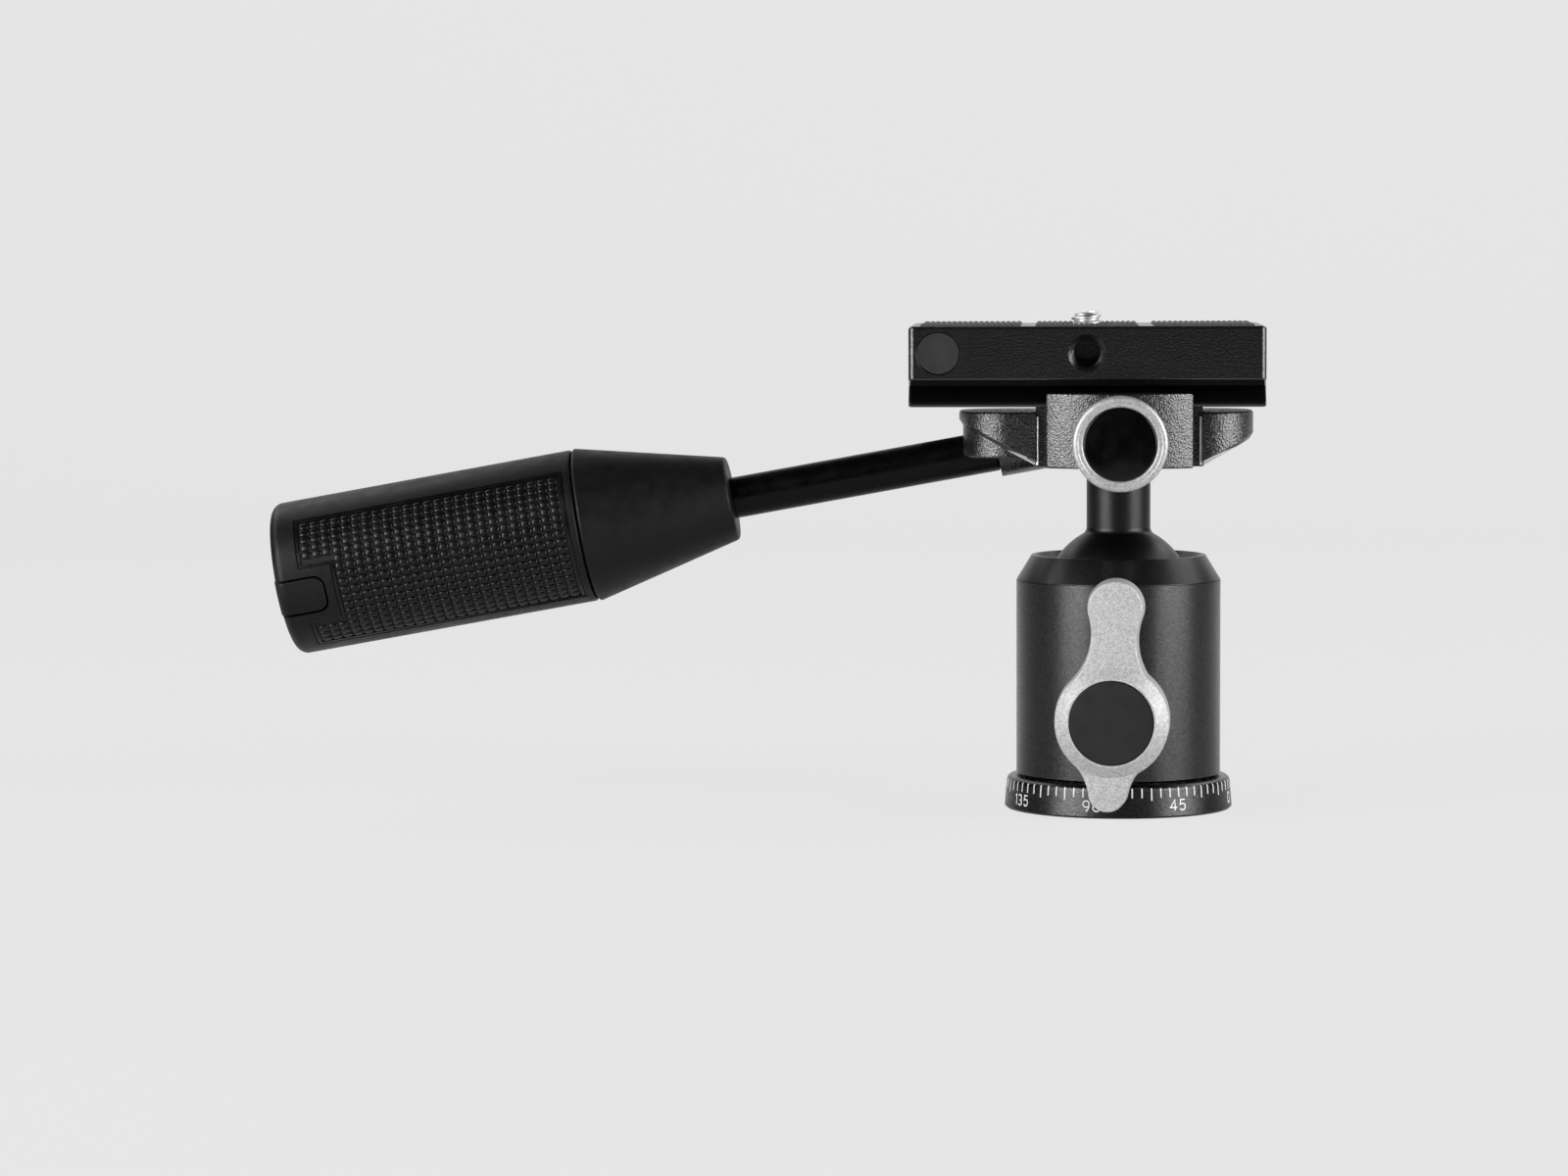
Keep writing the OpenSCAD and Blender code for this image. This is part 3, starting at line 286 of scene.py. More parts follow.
# Mesh tools, with the angles in degrees past which an edge stays sharp
SHARP, FLAT_SHARP, TRIM_SHARP, PRINT_SHARP, SOFT_SHARP = 32.0, 33.0, 25.0, 20.0, 50.0
WELD, FLAT_ANGLE, EDGE_ANGLE, FLAT_WEIGHT = 0.002 * MM, radians(0.6), 0.5, 80


def shade(mesh, angle):
    """Smooth shading, with the edges past an angle kept sharp."""
    mesh.polygons.foreach_set("use_smooth", [True] * len(mesh.polygons))
    mesh.set_sharp_from_angle(angle=radians(angle))
    mesh.update()


def placed(name, data):
    """A new object in the scene."""
    obj = bpy.data.objects.new(name, data)
    scene.collection.objects.link(obj)
    return obj


def add_piece(name, mesh, body, slot, material=None, replaces=(), angle=SHARP, shaded=False):
    """A finished mesh, in metres and in the frame's own place, riding on a body."""
    piece = placed(name, mesh)
    mesh.materials.clear()
    mesh.materials.append(MATERIALS[material or slot])
    if not shaded:
        shade(mesh, angle)
    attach(piece, body)
    if replaces:
        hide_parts(*replaces)


def add_shell(name, shell, *args, **options):
    """A piece from vertices and faces in millimetres."""
    add_piece(name, mesh_of(name, *shell), *args, **options)


def mesh_of(name, verts, faces):
    """A mesh in metres, its normals outward, from closed shells in millimetres."""
    mesh = bpy.data.meshes.new(name)
    mesh.from_pydata([Vector(v) * MM for v in verts], [], faces)
    b = bmesh.new()
    b.from_mesh(mesh)
    bmesh.ops.recalc_face_normals(b, faces=b.faces)
    b.to_mesh(mesh)
    b.free()
    return mesh


def filleted(points, closed=True, steps=5):
    """Rounds the corners of a profile; each point is (r, z) or (r, z, fillet radius)."""
    out = []
    count = len(points)
    for i, p in enumerate(points):
        radius = p[2] if len(p) > 2 else 0
        corner = Vector(p[:2])
        if not radius or (not closed and i in (0, count - 1)):
            out.append(tuple(corner))
            continue
        before = (Vector(points[i - 1][:2]) - corner).normalized()
        after = (Vector(points[(i + 1) % count][:2]) - corner).normalized()
        half = before.angle(after) / 2
        reach = radius / tan(half)
        centre = corner + (before + after).normalized() * (radius / sin(half))
        start = corner + before * reach - centre
        end = corner + after * reach - centre
        for k in range(steps + 1):
            d = start.lerp(end, k / steps).normalized() * radius
            out.append(tuple(centre + d))
    return out


def lathe(profile, matrix, count=96, ripple=None, closed=True):
    """Vertices and faces of a profile of (r, z) turned about z; r = 0 makes a pole."""
    verts, faces, rings = [], [], []
    for r, z in profile:
        if r < 1e-6:
            rings.append([len(verts)] * count)
            verts.append(matrix @ Vector((0, 0, z)))
            continue
        rings.append(list(range(len(verts), len(verts) + count)))
        for k in range(count):
            a = 2 * pi * k / count
            q = ripple(r, z, a) if ripple else r
            verts.append(matrix @ Vector((q * cos(a), q * sin(a), z)))
    pairs = list(zip(rings, rings[1:])) + ([(rings[-1], rings[0])] if closed else [])
    for low, high in pairs:
        for k in range(count):
            n = (k + 1) % count
            face = list(dict.fromkeys((low[k], low[n], high[n], high[k])))
            if len(face) > 2:
                faces.append(face)
    return verts, faces


def bore(steps, matrix):
    """A tool for a stepped round hole, from (radius, depth) points on its wall."""
    wall = [(0, steps[0][1])] + list(steps) + [(0, steps[-1][1])]
    return lathe(wall, matrix, count=72, closed=False)


def tube(rings, sides, closed=False, first=0):
    """Faces over rings of so many vertices each, capped unless the tube closes on itself."""
    faces = []
    for i in range(rings if closed else rings - 1):
        low, high = first + sides * i, first + sides * ((i + 1) % rings)
        for k in range(sides):
            n = (k + 1) % sides
            faces.append([low + k, low + n, high + n, high + k])
    if not closed:
        end = first + sides * (rings - 1)
        faces += [[first + k for k in reversed(range(sides))], [end + k for k in range(sides)]]
    return faces


def prism(outline, low, high, matrix=WORLD):
    """A flat outline raised from low to high along z."""
    verts = [matrix @ Vector((x, y, z)) for z in (low, high) for x, y in outline]
    return verts, tube(2, len(outline))


def box(x0, x1, y0, y1, z0, z1):
    return prism([(x0, y0), (x1, y0), (x1, y1), (x0, y1)], z0, z1)


def joined(*parts):
    """One list of vertices and faces from several closed shells."""
    verts, faces = [], []
    for v, f in parts:
        faces += [[i + len(verts) for i in face] for face in f]
        verts += v
    return verts, faces


def applied(obj):
    """The object's mesh with its modifiers, leaving no object behind."""
    bpy.context.view_layer.update()
    graph = bpy.context.evaluated_depsgraph_get()
    mesh = bpy.data.meshes.new_from_object(obj.evaluated_get(graph))
    bpy.data.objects.remove(obj)
    return mesh


def cut(mesh, shell):
    """A mesh less the solid within a shell."""
    a, b = placed("cut_body", mesh), placed("cut_tool", mesh_of("cut_tool", *shell))
    mod = a.modifiers.new("cut", "BOOLEAN")
    mod.operation, mod.object, mod.solver = "DIFFERENCE", b, "EXACT"
    out = applied(a)
    bpy.data.objects.remove(b)
    return out


def smoothed(mesh):
    """Normals that keep the large faces flat and the sharp edges sharp."""
    shade(mesh, FLAT_SHARP)
    obj = placed(mesh.name + "_smooth", mesh)
    flat = obj.modifiers.new("flats", "WEIGHTED_NORMAL")
    flat.keep_sharp, flat.weight = True, FLAT_WEIGHT
    return applied(obj)


def eased(node, *rules):
    """A copy of a CAD node's mesh with some outer edges rounded.

    Each rule is (width, segments, test); the test picks edges by end points in millimetres."""
    mesh = NODES[node].data.copy()
    if "custom_normal" in mesh.attributes:
        mesh.attributes.remove(mesh.attributes["custom_normal"])
    b = bmesh.new()
    b.from_mesh(mesh)
    bmesh.ops.remove_doubles(b, verts=b.verts, dist=WELD)
    bmesh.ops.dissolve_limit(
        b, angle_limit=FLAT_ANGLE, verts=b.verts, edges=b.edges, delimit=set()
    )
    for width, segments, test in rules:
        edges = [
            e for e in b.edges
            if len(e.link_faces) == 2 and e.is_convex and e.calc_face_angle() > EDGE_ANGLE
            and all(test(v.co / MM) for v in e.verts)
        ]
        bmesh.ops.bevel(
            b, geom=edges, offset=width * MM, offset_type="OFFSET", segments=segments,
            profile=0.5, affect="EDGES", clamp_overlap=False,
        )
    b.to_mesh(mesh)
    b.free()
    return smoothed(mesh)


def quarter(steps):
    """(sine, cosine) in steps over a quarter turn."""
    angles = [pi / 2 * k / steps for k in range(steps + 1)]
    return [(sin(a), cos(a)) for a in angles]


# Ball lock lever: an outline of tangent arcs, drafted and rounded, with the bevelled hub on it
def lever_outline():
    """(centre, angle, radius, growth of the radius with an inset), clockwise from the top."""
    def reach(w, y, flare=0.0):
        """Radius of the web that joins the hub to a half width w at a distance y."""
        lean = y * sin(flare)
        return (w * w + y * y - 2 * w * lean - HUB_R * HUB_R) / (2 * (HUB_R - w + lean))

    flare = radians(TAB_FLARE)
    f, g = reach(NECK_HW, NECK_Y), reach(TAB_HW, TAB_Y, flare)
    neck = Vector((NECK_HW + f, NECK_Y))
    head = Vector((0, NECK_Y + sqrt((f + PADDLE_R) ** 2 - (NECK_HW + f) ** 2)))
    tip = Vector((0, -TAB_Y))
    web = tip + (TAB_HW + g) * Vector((cos(flare), sin(flare)))
    a1 = atan2(neck.y - head.y, neck.x)
    a2 = atan2(-neck.y, -neck.x)
    a3 = atan2(web.y, web.x)
    arcs = [  # centre, radius, start, end, growth with an inset, steps
        (head, PADDLE_R, pi / 2, a1, -1, 26),
        (neck, f, a1 + pi, a2 + 2 * pi, 1, 18),
        (Vector((0, 0)), HUB_R, a2 + pi, a3, -1, 28),
        (web, g, a3 + pi, pi + flare, 1, 12),
        (tip, TAB_HW, flare, -pi / 2, -1, 16),
    ]
    right = []
    for centre, radius, start, end, grow, steps in arcs:
        for k in range(steps + 1 if centre is tip else steps):
            right.append((centre, start + (end - start) * k / steps, radius, grow))
    left = [(Vector((-c.x, c.y)), pi - a, r, s) for c, a, r, s in reversed(right[1:-1])]
    return right + left


def lever_shell():
    """The lever's arms, drafted, and rounded more at the back than at the front."""
    path = lever_outline()
    back, front, draft, back_steps, front_steps = 0.8, 0.38, 0.3, 4, 5
    layers = [(ARM_BACK + back * (1 - c), back * (1 - s)) for s, c in quarter(back_steps)]
    layers += [
        (ARM_FRONT - front * (1 - s), draft + front * (1 - c)) for s, c in quarter(front_steps)
    ]
    verts = []
    for z, inset in layers:
        for c, a, r, grow in path:
            q = r + grow * inset
            x, y = c.x + ARM_SHIFT + q * cos(a), c.y + q * sin(a)
            verts.append(LEVER @ Vector((x, y, z)))
    return verts, tube(len(layers), len(path))


HUB_LAND, HUB_DROP = 0.45, 0.25
hub = filleted([
    (DRIVE_R, HUB_BACK), (HUB_R, HUB_BACK, 0.4), (HUB_R, ARM_FRONT - HUB_DROP, 0.2),
    (LEVER_CAP_R + HUB_LAND, HUB_FRONT, 0.3), (LEVER_CAP_R + CAP_GAP, HUB_FRONT, 0.1),
    (LEVER_CAP_R + CAP_GAP, LEVER_CAP_BACK), (DRIVE_R, LEVER_CAP_BACK),
])
add_shell(
    "lever_body", joined(lever_shell(), lathe(hub, LEVER, count=128)), "lever", "lever_silver",
    replaces=["lock_lever"],
)


def cap_disc(name, radius, low, high, matrix, body, node, material=None):
    """A flat cap with its edges eased."""
    rim = filleted([(0, low), (radius, low, 0.15), (radius, high, 0.3), (0, high)], closed=False)
    disc = lathe(rim, matrix, closed=False)
    add_shell(name, disc, body, "cap_black", material, replaces=[node])


cap_disc(
    "lever_badge", LEVER_CAP_R, LEVER_CAP_BACK, LEVER_CAP_FRONT, LEVER, "lever", "lever_cap"
)

# Clamp knob: a turned ring with a stepped front, and its flat cap
KNOB_DRAFT, KNOB_DRAFT_LEN, KNOB_EDGE, KNOB_RIM, KNOB_LEDGE = 0.25, 2.2, 0.15, 1.0, 0.15
KNOB_STEP, KNOB_LAND, KNOB_BEVEL = 0.12, 0.35, 0.35
knob_end = KNOB_Y + KNOB_LEN
knob_seat = knob_end - KNOB_CAP_T - KNOB_CAP_SINK
ring = filleted([
    (KNOB_SCREW_R + BORE_GAP, KNOB_Y), (KNOB_R - KNOB_DRAFT, KNOB_Y, 0.5),
    (KNOB_R, KNOB_Y + KNOB_DRAFT_LEN, 0.6), (KNOB_R, knob_end - KNOB_EDGE, 0.75),
    (KNOB_R - KNOB_RIM, knob_end, 0.25),
    (KNOB_R - KNOB_RIM - KNOB_LEDGE, knob_end - KNOB_STEP, 0.1),
    (KNOB_CAP_R + KNOB_LAND, knob_end - KNOB_STEP, 0.2),
    (KNOB_CAP_R + CAP_GAP, knob_end - KNOB_BEVEL), (KNOB_CAP_R + CAP_GAP, knob_seat),
    (KNOB_SCREW_R + BORE_GAP, knob_seat),
])
add_shell(
    "clamp_knob", lathe(ring, KNOB, count=128), "qr_knob", "lever_silver", "knob_silver",
    replaces=["knob_ring"],
)
cap_disc(
    "clamp_knob_face", KNOB_CAP_R, knob_seat, knob_end - KNOB_CAP_SINK, KNOB, "qr_knob", "knob_cap",
    "knob_black",
)

# Pan lock knob at the back, with straight knurling that starts between two rings near each end
KNURL_COUNT, KNURL_DEPTH, KNURL_AT, KNURL_RINGS = 36, 0.28, 1.0, (0.9, 1.2)
PAN_CAP_LIFT, PAN_CAP_SINK = 0.02, 0.08
pan_end = PAN_KNOB_Y + PAN_KNOB_LEN
pan_seat = pan_end - PAN_CAP_T


def knurl(r, z, a):
    """The knob's radius, less the knurl's groove where z is between its ends."""
    grooved = PAN_KNOB_Y + KNURL_AT < z < pan_end - KNURL_AT
    return r - KNURL_DEPTH * (0.5 + 0.5 * cos(KNURL_COUNT * a)) if grooved else r


pan_ring = filleted([
    (PAN_SCREW_R + BORE_GAP, PAN_KNOB_Y), (PAN_KNOB_R, PAN_KNOB_Y, 0.6),
    *[(PAN_KNOB_R, PAN_KNOB_Y + inset) for inset in KNURL_RINGS],
    *[(PAN_KNOB_R, pan_end - inset) for inset in reversed(KNURL_RINGS)],
    (PAN_KNOB_R, pan_end, 0.6), (PAN_CAP_R + CAP_GAP, pan_end, 0.15),
    (PAN_CAP_R + CAP_GAP, pan_seat), (PAN_SCREW_R + BORE_GAP, pan_seat),
])
add_shell(
    "pan_knob", lathe(pan_ring, REAR, count=288, ripple=knurl), "pan_lock", "lever_silver",
    replaces=["pan_lock_knob"],
)
cap_disc(
    "pan_knob_face", PAN_CAP_R, pan_seat + PAN_CAP_LIFT, pan_end - PAN_CAP_SINK, REAR, "pan_lock",
    "pan_lock_cap", "knob_black",
)

# Degree scale on the base: white ticks and numbers laid on the ring
PRINT_LIFTS, MITRE_LIMIT = (0.035, -0.1), 0.5


def ring_radius(z):
    """Radius of the base's outside at a height."""
    shoulder = BASE_H - BASE_ROUND
    if z > shoulder:
        rise = max(0.0, BASE_ROUND ** 2 - (z - shoulder) ** 2)
        return BASE_TOP_R - BASE_ROUND + sqrt(rise)
    return BASE_R - (BASE_R - BASE_TOP_R) * (z - BASE_EDGE) / (shoulder - BASE_EDGE)


def on_ring(centre, s, z, lift):
    """Point at arc length s to the right of an angle from the front, seen from outside."""
    r = ring_radius(z) + lift
    a = radians(centre) + s / BASE_R
    return (r * sin(a), -r * cos(a), z)


def ribbon(points, width, place, closed=False, lifts=PRINT_LIFTS):
    """A thin closed slab along a flat line of points, laid on a surface by place(s, z, lift)."""
    count = len(points)
    top, foot = lifts
    verts = []
    for i, p in enumerate(points):
        p = Vector(p)
        ahead = Vector(points[(i + 1) % count]) - p if closed or i < count - 1 else None
        behind = p - Vector(points[i - 1]) if closed or i else None
        a = (ahead or behind).normalized()
        b = (behind or ahead).normalized()
        along = (a + b).normalized()
        side = Vector((-along.y, along.x)) * (width / 2 / max(MITRE_LIMIT, along.dot(a)))
        for q, lift in ((p + side, top), (p - side, top), (p - side, foot), (p + side, foot)):
            verts.append(place(q.x, q.y, lift))
    return verts, tube(count, 4, closed)


def arc(cx, cy, rx, ry, start, end, steps):
    """Points of an ellipse's arc between two angles in degrees."""
    angles = [radians(start + (end - start) * k / steps) for k in range(steps + 1)]
    return [(cx + rx * cos(a), cy + ry * sin(a)) for a in angles]


# Strokes of each digit in a box 1.4 wide and 2 high, and whether the stroke closes on itself
DIGITS = {
    "0": [(arc(0.7, 1.35, 0.6, 0.55, 0, 180, 10) + arc(0.7, 0.65, 0.6, 0.55, 180, 360, 10), True)],
    "1": [([(0.3, 1.55), (0.75, 1.9), (0.75, 0.1)], False)],
    "2": [(arc(0.7, 1.38, 0.58, 0.52, 165, -30, 10) + [(0.12, 0.12), (1.3, 0.12)], False)],
    "3": [(arc(0.66, 1.42, 0.52, 0.48, 150, -90, 10) + arc(0.66, 0.56, 0.6, 0.46, 80, -150, 10),
           False)],
    "4": [([(1.0, 0.1), (1.0, 1.9), (0.1, 0.6), (1.4, 0.6)], False)],
    "5": [([(1.2, 1.88), (0.3, 1.88), (0.2, 1.05)] + arc(0.68, 0.68, 0.58, 0.56, 125, -150, 12),
           False)],
    "7": [([(0.12, 1.88), (1.28, 1.88), (0.55, 0.1)], False)],
    "8": [(arc(0.7, 1.44, 0.5, 0.44, -90, 270, 16)[:-1], True),
          (arc(0.7, 0.56, 0.58, 0.46, 90, 450, 16)[:-1], True)],
    "9": [(arc(0.7, 1.32, 0.56, 0.56, -20, 340, 16)[:-1], True),
          ([(1.24, 1.25), (1.2, 0.75), (1.0, 0.3), (0.6, 0.1)], False)],
}
DIGIT_SIZE, DIGIT_PITCH, NARROW_PITCH, DIGIT_LOW, DIGIT_STROKE = 1.17, 2.15, 1.5, 1.35, 0.26
TICK_TOP, TICK_SHORT, TICK_LONG, TICK_WIDTH, TICK_STEPS = 6.05, 4.15, 3.6, 0.27, 8
ZERO_AT, TICK_EVERY, LONG_EVERY, NUMBER_EVERY = 76.5, 5, 15, 45
scale = []
for mark in range(0, 360, TICK_EVERY):
    place = partial(on_ring, ZERO_AT - mark)
    long_tick = mark % LONG_EVERY == 0 and mark % NUMBER_EVERY != 0
    drop = (TICK_LONG if long_tick else TICK_SHORT) - TICK_TOP
    line = [(0, TICK_TOP + drop * k / TICK_STEPS) for k in range(TICK_STEPS + 1)]
    scale.append(ribbon(line, TICK_WIDTH, place))
    if mark % NUMBER_EVERY:
        continue
    word = str(mark)
    widths = [NARROW_PITCH if d == "1" else DIGIT_PITCH for d in word]
    left = -sum(widths) / 2
    for digit, width in zip(word, widths):
        for stroke, loop in DIGITS[digit]:
            line = [(left + DIGIT_SIZE * x, DIGIT_LOW + DIGIT_SIZE * y) for x, y in stroke]
            scale.append(ribbon(line, DIGIT_STROKE, place, loop))
        left += width
add_shell("degree_scale", joined(*scale), "base", "base_black", "dial_white", angle=PRINT_SHARP)

# Threads: a helical ridge on a cylinder's wall, inwards in a hole and outwards on a screw
TRIPOD_PITCH, TRIPOD_RIDGE, TRIPOD_IN, CAMERA_PITCH, CAMERA_RIDGE = 1.5875, 0.75, 1.0, 1.27, 0.5
SIDE_IN, SIDE_END = 1.2, 0.9
FLANK, CREST, TURN_STEPS, TIP_CONE, THREAD_SINK, LEAST_RIDGE = 0.44, 0.07, 40, 0.75, 0.04, 0.05


def helix(root, crest, pitch, low, high, matrix, tip=None):
    """A ridge that fades out at its ends, or is cut by a cone that ends at the height of a tip."""
    verts = []
    total = int((high - low) / pitch * TURN_STEPS)
    wide, top = FLANK * pitch, CREST * pitch
    for i in range(total + 1):
        a = 2 * pi * i / TURN_STEPS
        z = low + pitch * i / TURN_STEPS
        run_out = (total - i) / TURN_STEPS * 2
        if tip:
            run_out = (crest - max(0.0, z - tip + TIP_CONE) - root) / (crest - root)
        fade = min(1.0, i / TURN_STEPS * 2, run_out)
        peak = root + (crest - root) * max(LEAST_RIDGE, fade)
        for r, dz in ((root, -wide), (peak, -top), (peak, top), (root, wide)):
            verts.append(matrix @ Vector((r * cos(a), r * sin(a), z + dz)))
    return verts, tube(total + 1, 4)


tripod_thread = helix(
    TRIPOD_R + THREAD_SINK, TRIPOD_R - TRIPOD_RIDGE, TRIPOD_PITCH, TRIPOD_IN,
    TRIPOD_DEPTH - TRIPOD_IN, WORLD,
)
side_thread = helix(
    CAMERA_R + THREAD_SINK, CAMERA_R - CAMERA_RIDGE, CAMERA_PITCH, SIDE_IN,
    ACCESSORY_DEPTH - SIDE_END, SIDE_HOLE,
)
add_shell("tripod_thread", tripod_thread, "base", "steel")
add_shell("accessory_thread", side_thread, "plate", "plate_black")

# Camera screw: slotted head, necked shank and threaded end
SLOT_HALF, SLOT_W, SLOT_DEPTH, THREAD_DEPTH, RIDGE_SINK = 8.0, 1.8, 1.5, 0.74, 0.05
NECK_EDGE, TIP_BEVEL, RIDGE_START, RIDGE_STOP = 0.1, 0.25, 0.56, 0.2
core_r = CAMERA_R - THREAD_DEPTH
head_low = SCREW_HEAD_TOP - SCREW_HEAD_T
stud = mesh_of("camera_stud", *lathe(filleted([
    (0, head_low), (SCREW_HEAD_R, head_low, 0.4), (SCREW_HEAD_R, SCREW_HEAD_TOP, 0.3),
    (SHANK_R, SCREW_HEAD_TOP), (SHANK_R, COLLAR_Z), (core_r, COLLAR_Z + NECK_EDGE),
    (core_r, SCREW_TIP - TIP_BEVEL), (core_r - TIP_BEVEL, SCREW_TIP, 0.1), (0, SCREW_TIP),
], closed=False), SCREW, count=64, closed=False))
stud = cut(stud, box(
    PLATE_X - SLOT_HALF, PLATE_X + SLOT_HALF, -SLOT_W / 2, SLOT_W / 2, head_low - OVER,
    head_low + SLOT_DEPTH,
))
ridge = mesh_of("screw_ridge", *helix(
    core_r - RIDGE_SINK, CAMERA_R, CAMERA_PITCH, COLLAR_Z + RIDGE_START, SCREW_TIP - RIDGE_STOP,
    SCREW, SCREW_TIP,
))
whole = bmesh.new()
whole.from_mesh(stud)
whole.from_mesh(ridge)
whole.to_mesh(stud)
whole.free()
add_piece("camera_stud", stud, "screw", "screw_steel", replaces=["camera_screw"])

# Rubber pads with ribs across the plate
RIB_PITCH, RIB_DEPTH, RIB_FOOT, RIB_EDGE, RIB_FLAT, RIB_EASE = 1.1, 0.28, 0.02, 0.2, 0.32, 0.04


def ribbed_pad(name, node, start, length, hole=None):
    """A pad with its ribs in a section that is drawn across the plate."""
    pitch = length / round(length / RIB_PITCH)
    low, high, half = PAD_FLOOR, PAD_FLOOR + PAD_T, PLATE_HW - PAD_SIDE
    rise = [
        (RIB_FOOT, high - RIB_DEPTH), (RIB_EDGE * pitch, high - RIB_EASE), (RIB_FLAT * pitch, high)
    ]
    rib = rise + [(pitch - x, z) for x, z in reversed(rise)]
    section = [(start, low)]
    for k in range(round(length / pitch)):
        section += [(start + k * pitch + x, z) for x, z in rib]
    section.append((start + length, low))
    mesh = mesh_of(name, *prism(section, -half, half, ALONG_Y))
    if hole:
        mesh = cut(mesh, bore([(hole, low - OVER), (hole, high + OVER)], SCREW))
    add_piece(name, mesh, "plate", "pad_rubber", replaces=[node], angle=TRIM_SHARP)


side_len = (PLATE_LEN - PAD_MID) / 2 - PAD_GAP - PAD_END
plate_left = PLATE_X - PLATE_LEN / 2
pad_starts = (
    plate_left + PAD_END, PLATE_X - PAD_MID / 2, plate_left + PLATE_LEN - PAD_END - side_len
)
ribbed_pad("pad_ribs_left", "pad_left", pad_starts[0], side_len)
ribbed_pad("pad_ribs_centre", "pad_centre", pad_starts[1], PAD_MID, SCREW_ROOM_R)
ribbed_pad("pad_ribs_right", "pad_right", pad_starts[2], side_len)

# Collar and cone: turned profiles with their edges rounded
collar = filleted([
    (SKIRT_IN, SKIRT_Z), (SKIRT_OUT, SKIRT_Z), (SKIRT_OUT, HOUSING_TOP),
    (HOUSING_R, HOUSING_TOP, 0.12), (SHOULDER_R, SHOULDER_Z, 0.5), (RIM_R, RIM_Z, 0.2),
    (RIM_R - RIM_W, RIM_Z, 0.2), (FUNNEL_R, FUNNEL_Z, 0.2), (FUNNEL_R, SEAT_TOP),
    (SKIRT_IN, SEAT_TOP),
])
add_shell(
    "collar_ring", lathe(collar, WORLD, count=160), "housing", "collar_black",
    replaces=["ball_collar"],
)
taper = filleted([
    (ROD_R + BORE_GAP, CONE_START), (CONE_R - CONE_NIP, CONE_START, 0.9),
    (CONE_END_R, SEAM - LIP_LEN, 0.5), (CONE_END_R - LIP_DEEP, SEAM, 0.15),
    (CONE_END_R - CONE_WALL, SEAM), (CONE_ROOM_R, CONE_ROOM), (ROD_R + BORE_GAP, CONE_ROOM),
])
add_shell(
    "handle_taper", lathe(taper, HANDLE, count=144), "handle", "handle_plastic",
    replaces=["handle_cone"],
)


# Plate: round-cornered outlines stacked up its dovetail profile, then its pockets and holes
def corner_plan(half_x, half_y, radius):
    """A rectangle with round corners, with the same number of points at any size."""
    out = []
    for cx, cy, begin in ((1, 1, 0), (-1, 1, 90), (-1, -1, 180), (1, -1, 270)):
        x, y = cx * (half_x - radius), cy * (half_y - radius)
        out += arc(x, y, radius, radius, begin, begin + 90, CORNER_STEPS)
    return out


def plate_shell():
    """The plate before its pockets; the corners of its body are rounder than those of its foot."""
    foot_round, slope_round, step_round, top_round = 0.5, 0.3, 0.35, 0.7
    sliver, foot_corner = 0.02, 0.3
    profile = filleted([
        (0, PLATE_Z), (FOOT_HW, PLATE_Z, foot_round), (FOOT_HW, SLOPE_Z, slope_round),
        (PLATE_NECK, NECK_Z), (PLATE_NECK, PLATE_STEP_Z),
        (PLATE_HW, PLATE_STEP_Z + sliver, step_round), (PLATE_HW, PLATE_TOP, top_round),
        (0, PLATE_TOP),
    ], closed=False)[1:-1]
    verts = []
    for half, z in profile:
        inset, radius = 0.0, PLATE_CORNER if half > FOOT_HW else foot_corner
        if z > PLATE_TOP - top_round:
            inset = PLATE_HW - half
            radius = PLATE_CORNER - inset
        elif z < PLATE_Z + foot_round:
            inset = FOOT_HW - half
        plan = corner_plan(PLATE_LEN / 2 - inset, half, radius)
        verts += [(PLATE_X + x, y, z) for x, y in plan]
    return verts, tube(len(profile), len(plan))


thread_hole, mouth = CAMERA_R + POCKET_GAP, CAMERA_R + ACCESSORY_BEVEL
plug_mouth = PLUG_HOLE_R + PLUG_BEVEL
holes = [
    bore([
        (HEAD_ROOM_R, PLATE_Z - OVER), (HEAD_ROOM_R, HEAD_ROOM_TOP), (thread_hole, HEAD_ROOM_TOP),
        (thread_hole, SCREW_ROOM_Z), (SCREW_ROOM_R, SCREW_ROOM_Z), (SCREW_ROOM_R, PLATE_TOP + OVER),
    ], SCREW),
    bore([
        (mouth, -OVER), (mouth, 0), (CAMERA_R, ACCESSORY_BEVEL), (CAMERA_R, ACCESSORY_DEPTH),
    ], SIDE_HOLE),
    bore([
        (plug_mouth, -OVER), (plug_mouth, 0), (PLUG_HOLE_R, PLUG_BEVEL), (PLUG_HOLE_R, PLUG_DEPTH),
    ], move(-PLUG_X, 0, 0) @ SIDE_HOLE),
]
for x in (-STOP_X, STOP_X):
    stop = [(STOP_HOLE_R, PLATE_Z - OVER), (STOP_HOLE_R, PLATE_Z + STOP_DEPTH)]
    holes.append(bore(stop, move(x, 0, 0) @ SCREW))
pocket_y = PLATE_HW - PAD_SIDE + POCKET_GAP
pockets = [
    box(x - POCKET_GAP, x + length + POCKET_GAP, -pocket_y, pocket_y, PAD_FLOOR, PLATE_TOP + OVER)
    for x, length in zip(pad_starts, (side_len, PAD_MID, side_len))
]
block = mesh_of("plate_block", *plate_shell())
block = smoothed(cut(cut(block, joined(*holes)), joined(*pockets)))
add_piece("plate_block", block, "plate", "plate_black", replaces=["plate_body"], shaded=True)

# CAD forms with their outer edges rounded as cast, machined or moulded
TOUCH, WING_SLACK, LUG_CLEAR, TAB_SKIN, WING_CHAMFER = 0.03, 0.1, 0.5, 0.3, 0.75


def near(a, b):
    return abs(a - b) < TOUCH


def slope_height(x):
    """Height of the wings' sloping underside."""
    return CLAMP_Z + (abs(x) - WING_ROOT) * tan(radians(WING_SLOPE))


